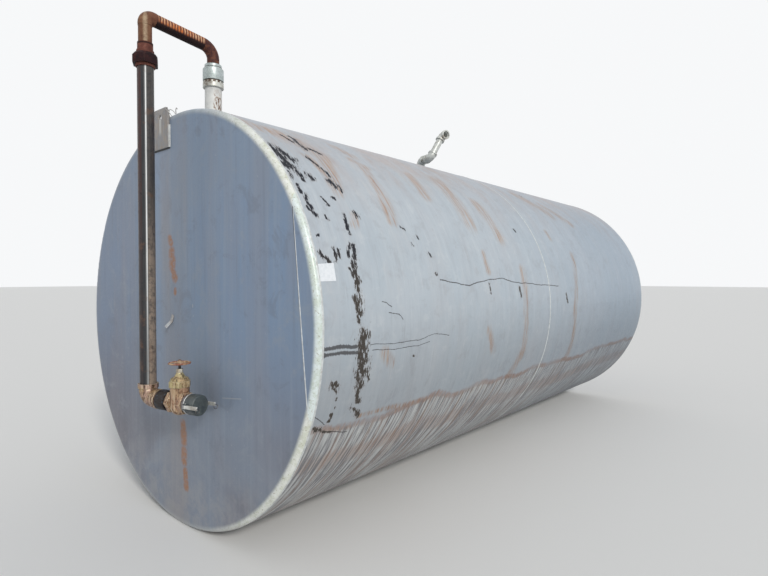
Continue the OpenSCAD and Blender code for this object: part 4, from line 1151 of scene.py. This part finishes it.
# Floor, light and camera
FLOOR_HALF = 90
SUN_SIDE, SUN_RISE = math.radians(22.8), math.radians(29.8)
SOFT_SKY = ((0.93, 0.96, 1.0, 1), 0.55)
PALE_BACK = ((0.93, 0.94, 0.95, 1), 1.0)


def stage_floor():
    me = bpy.data.meshes.new("floor")
    bm = bmesh.new()
    bmesh.ops.create_grid(bm, x_segments=2, y_segments=2, size=FLOOR_HALF)
    bm.to_mesh(me)
    bm.free()
    floor = bpy.data.objects.new("floor", me)
    bpy.context.scene.collection.objects.link(floor)
    s = Shader("pale_floor")
    me.materials.append(s.done((0.80, 0.80, 0.79), 0.0, 0.85))


# The soft sky lights the tank; the camera and reflections see the pale back
def light_up():
    world = bpy.data.worlds.new("studio")
    bpy.context.scene.world = world
    world.use_nodes = True
    t = world.node_tree
    t.nodes.clear()
    mixer = t.nodes.new("ShaderNodeMixShader")
    path = t.nodes.new("ShaderNodeLightPath")
    seen = path.outputs["Is Camera Ray"]
    for ray in ("Is Glossy Ray", "Is Transmission Ray"):
        either = t.nodes.new("ShaderNodeMath")
        either.operation = "MAXIMUM"
        t.links.new(seen, either.inputs[0])
        t.links.new(path.outputs[ray], either.inputs[1])
        seen = either.outputs[0]
    t.links.new(seen, mixer.inputs[0])
    for slot, (colour, strength) in enumerate((SOFT_SKY, PALE_BACK), 1):
        back = t.nodes.new("ShaderNodeBackground")
        back.inputs[0].default_value = colour
        back.inputs[1].default_value = strength
        t.links.new(back.outputs[0], mixer.inputs[slot])
    t.links.new(mixer.outputs[0], t.nodes.new("ShaderNodeOutputWorld").inputs[0])
    key = bpy.data.lights.new("key", "SUN")
    key.energy = 1.7
    key.angle = math.radians(9)
    key.color = (1.0, 0.97, 0.92)
    lamp = bpy.data.objects.new("key", key)
    bpy.context.scene.collection.objects.link(lamp)
    way = Vector((-math.cos(SUN_SIDE) * math.cos(SUN_RISE), math.sin(SUN_SIDE) * math.cos(SUN_RISE),
                  -math.sin(SUN_RISE)))
    lamp.rotation_euler = way.to_track_quat("-Z", "Y").to_euler()


def aim_camera():
    cam = bpy.data.cameras.new("camera")
    cam.sensor_width = 36
    cam.lens = cam.sensor_width * FOCAL / PHOTO_W
    cam.clip_end = 400
    obj = bpy.data.objects.new("camera", cam)
    bpy.context.scene.collection.objects.link(obj)
    obj.location = EYE
    obj.rotation_euler = Vector(AHEAD).to_track_quat("-Z", "Y").to_euler()
    bpy.context.scene.camera = obj


stage_floor()
light_up()
aim_camera()

scene = bpy.context.scene
scene.view_settings.view_transform = "Standard"
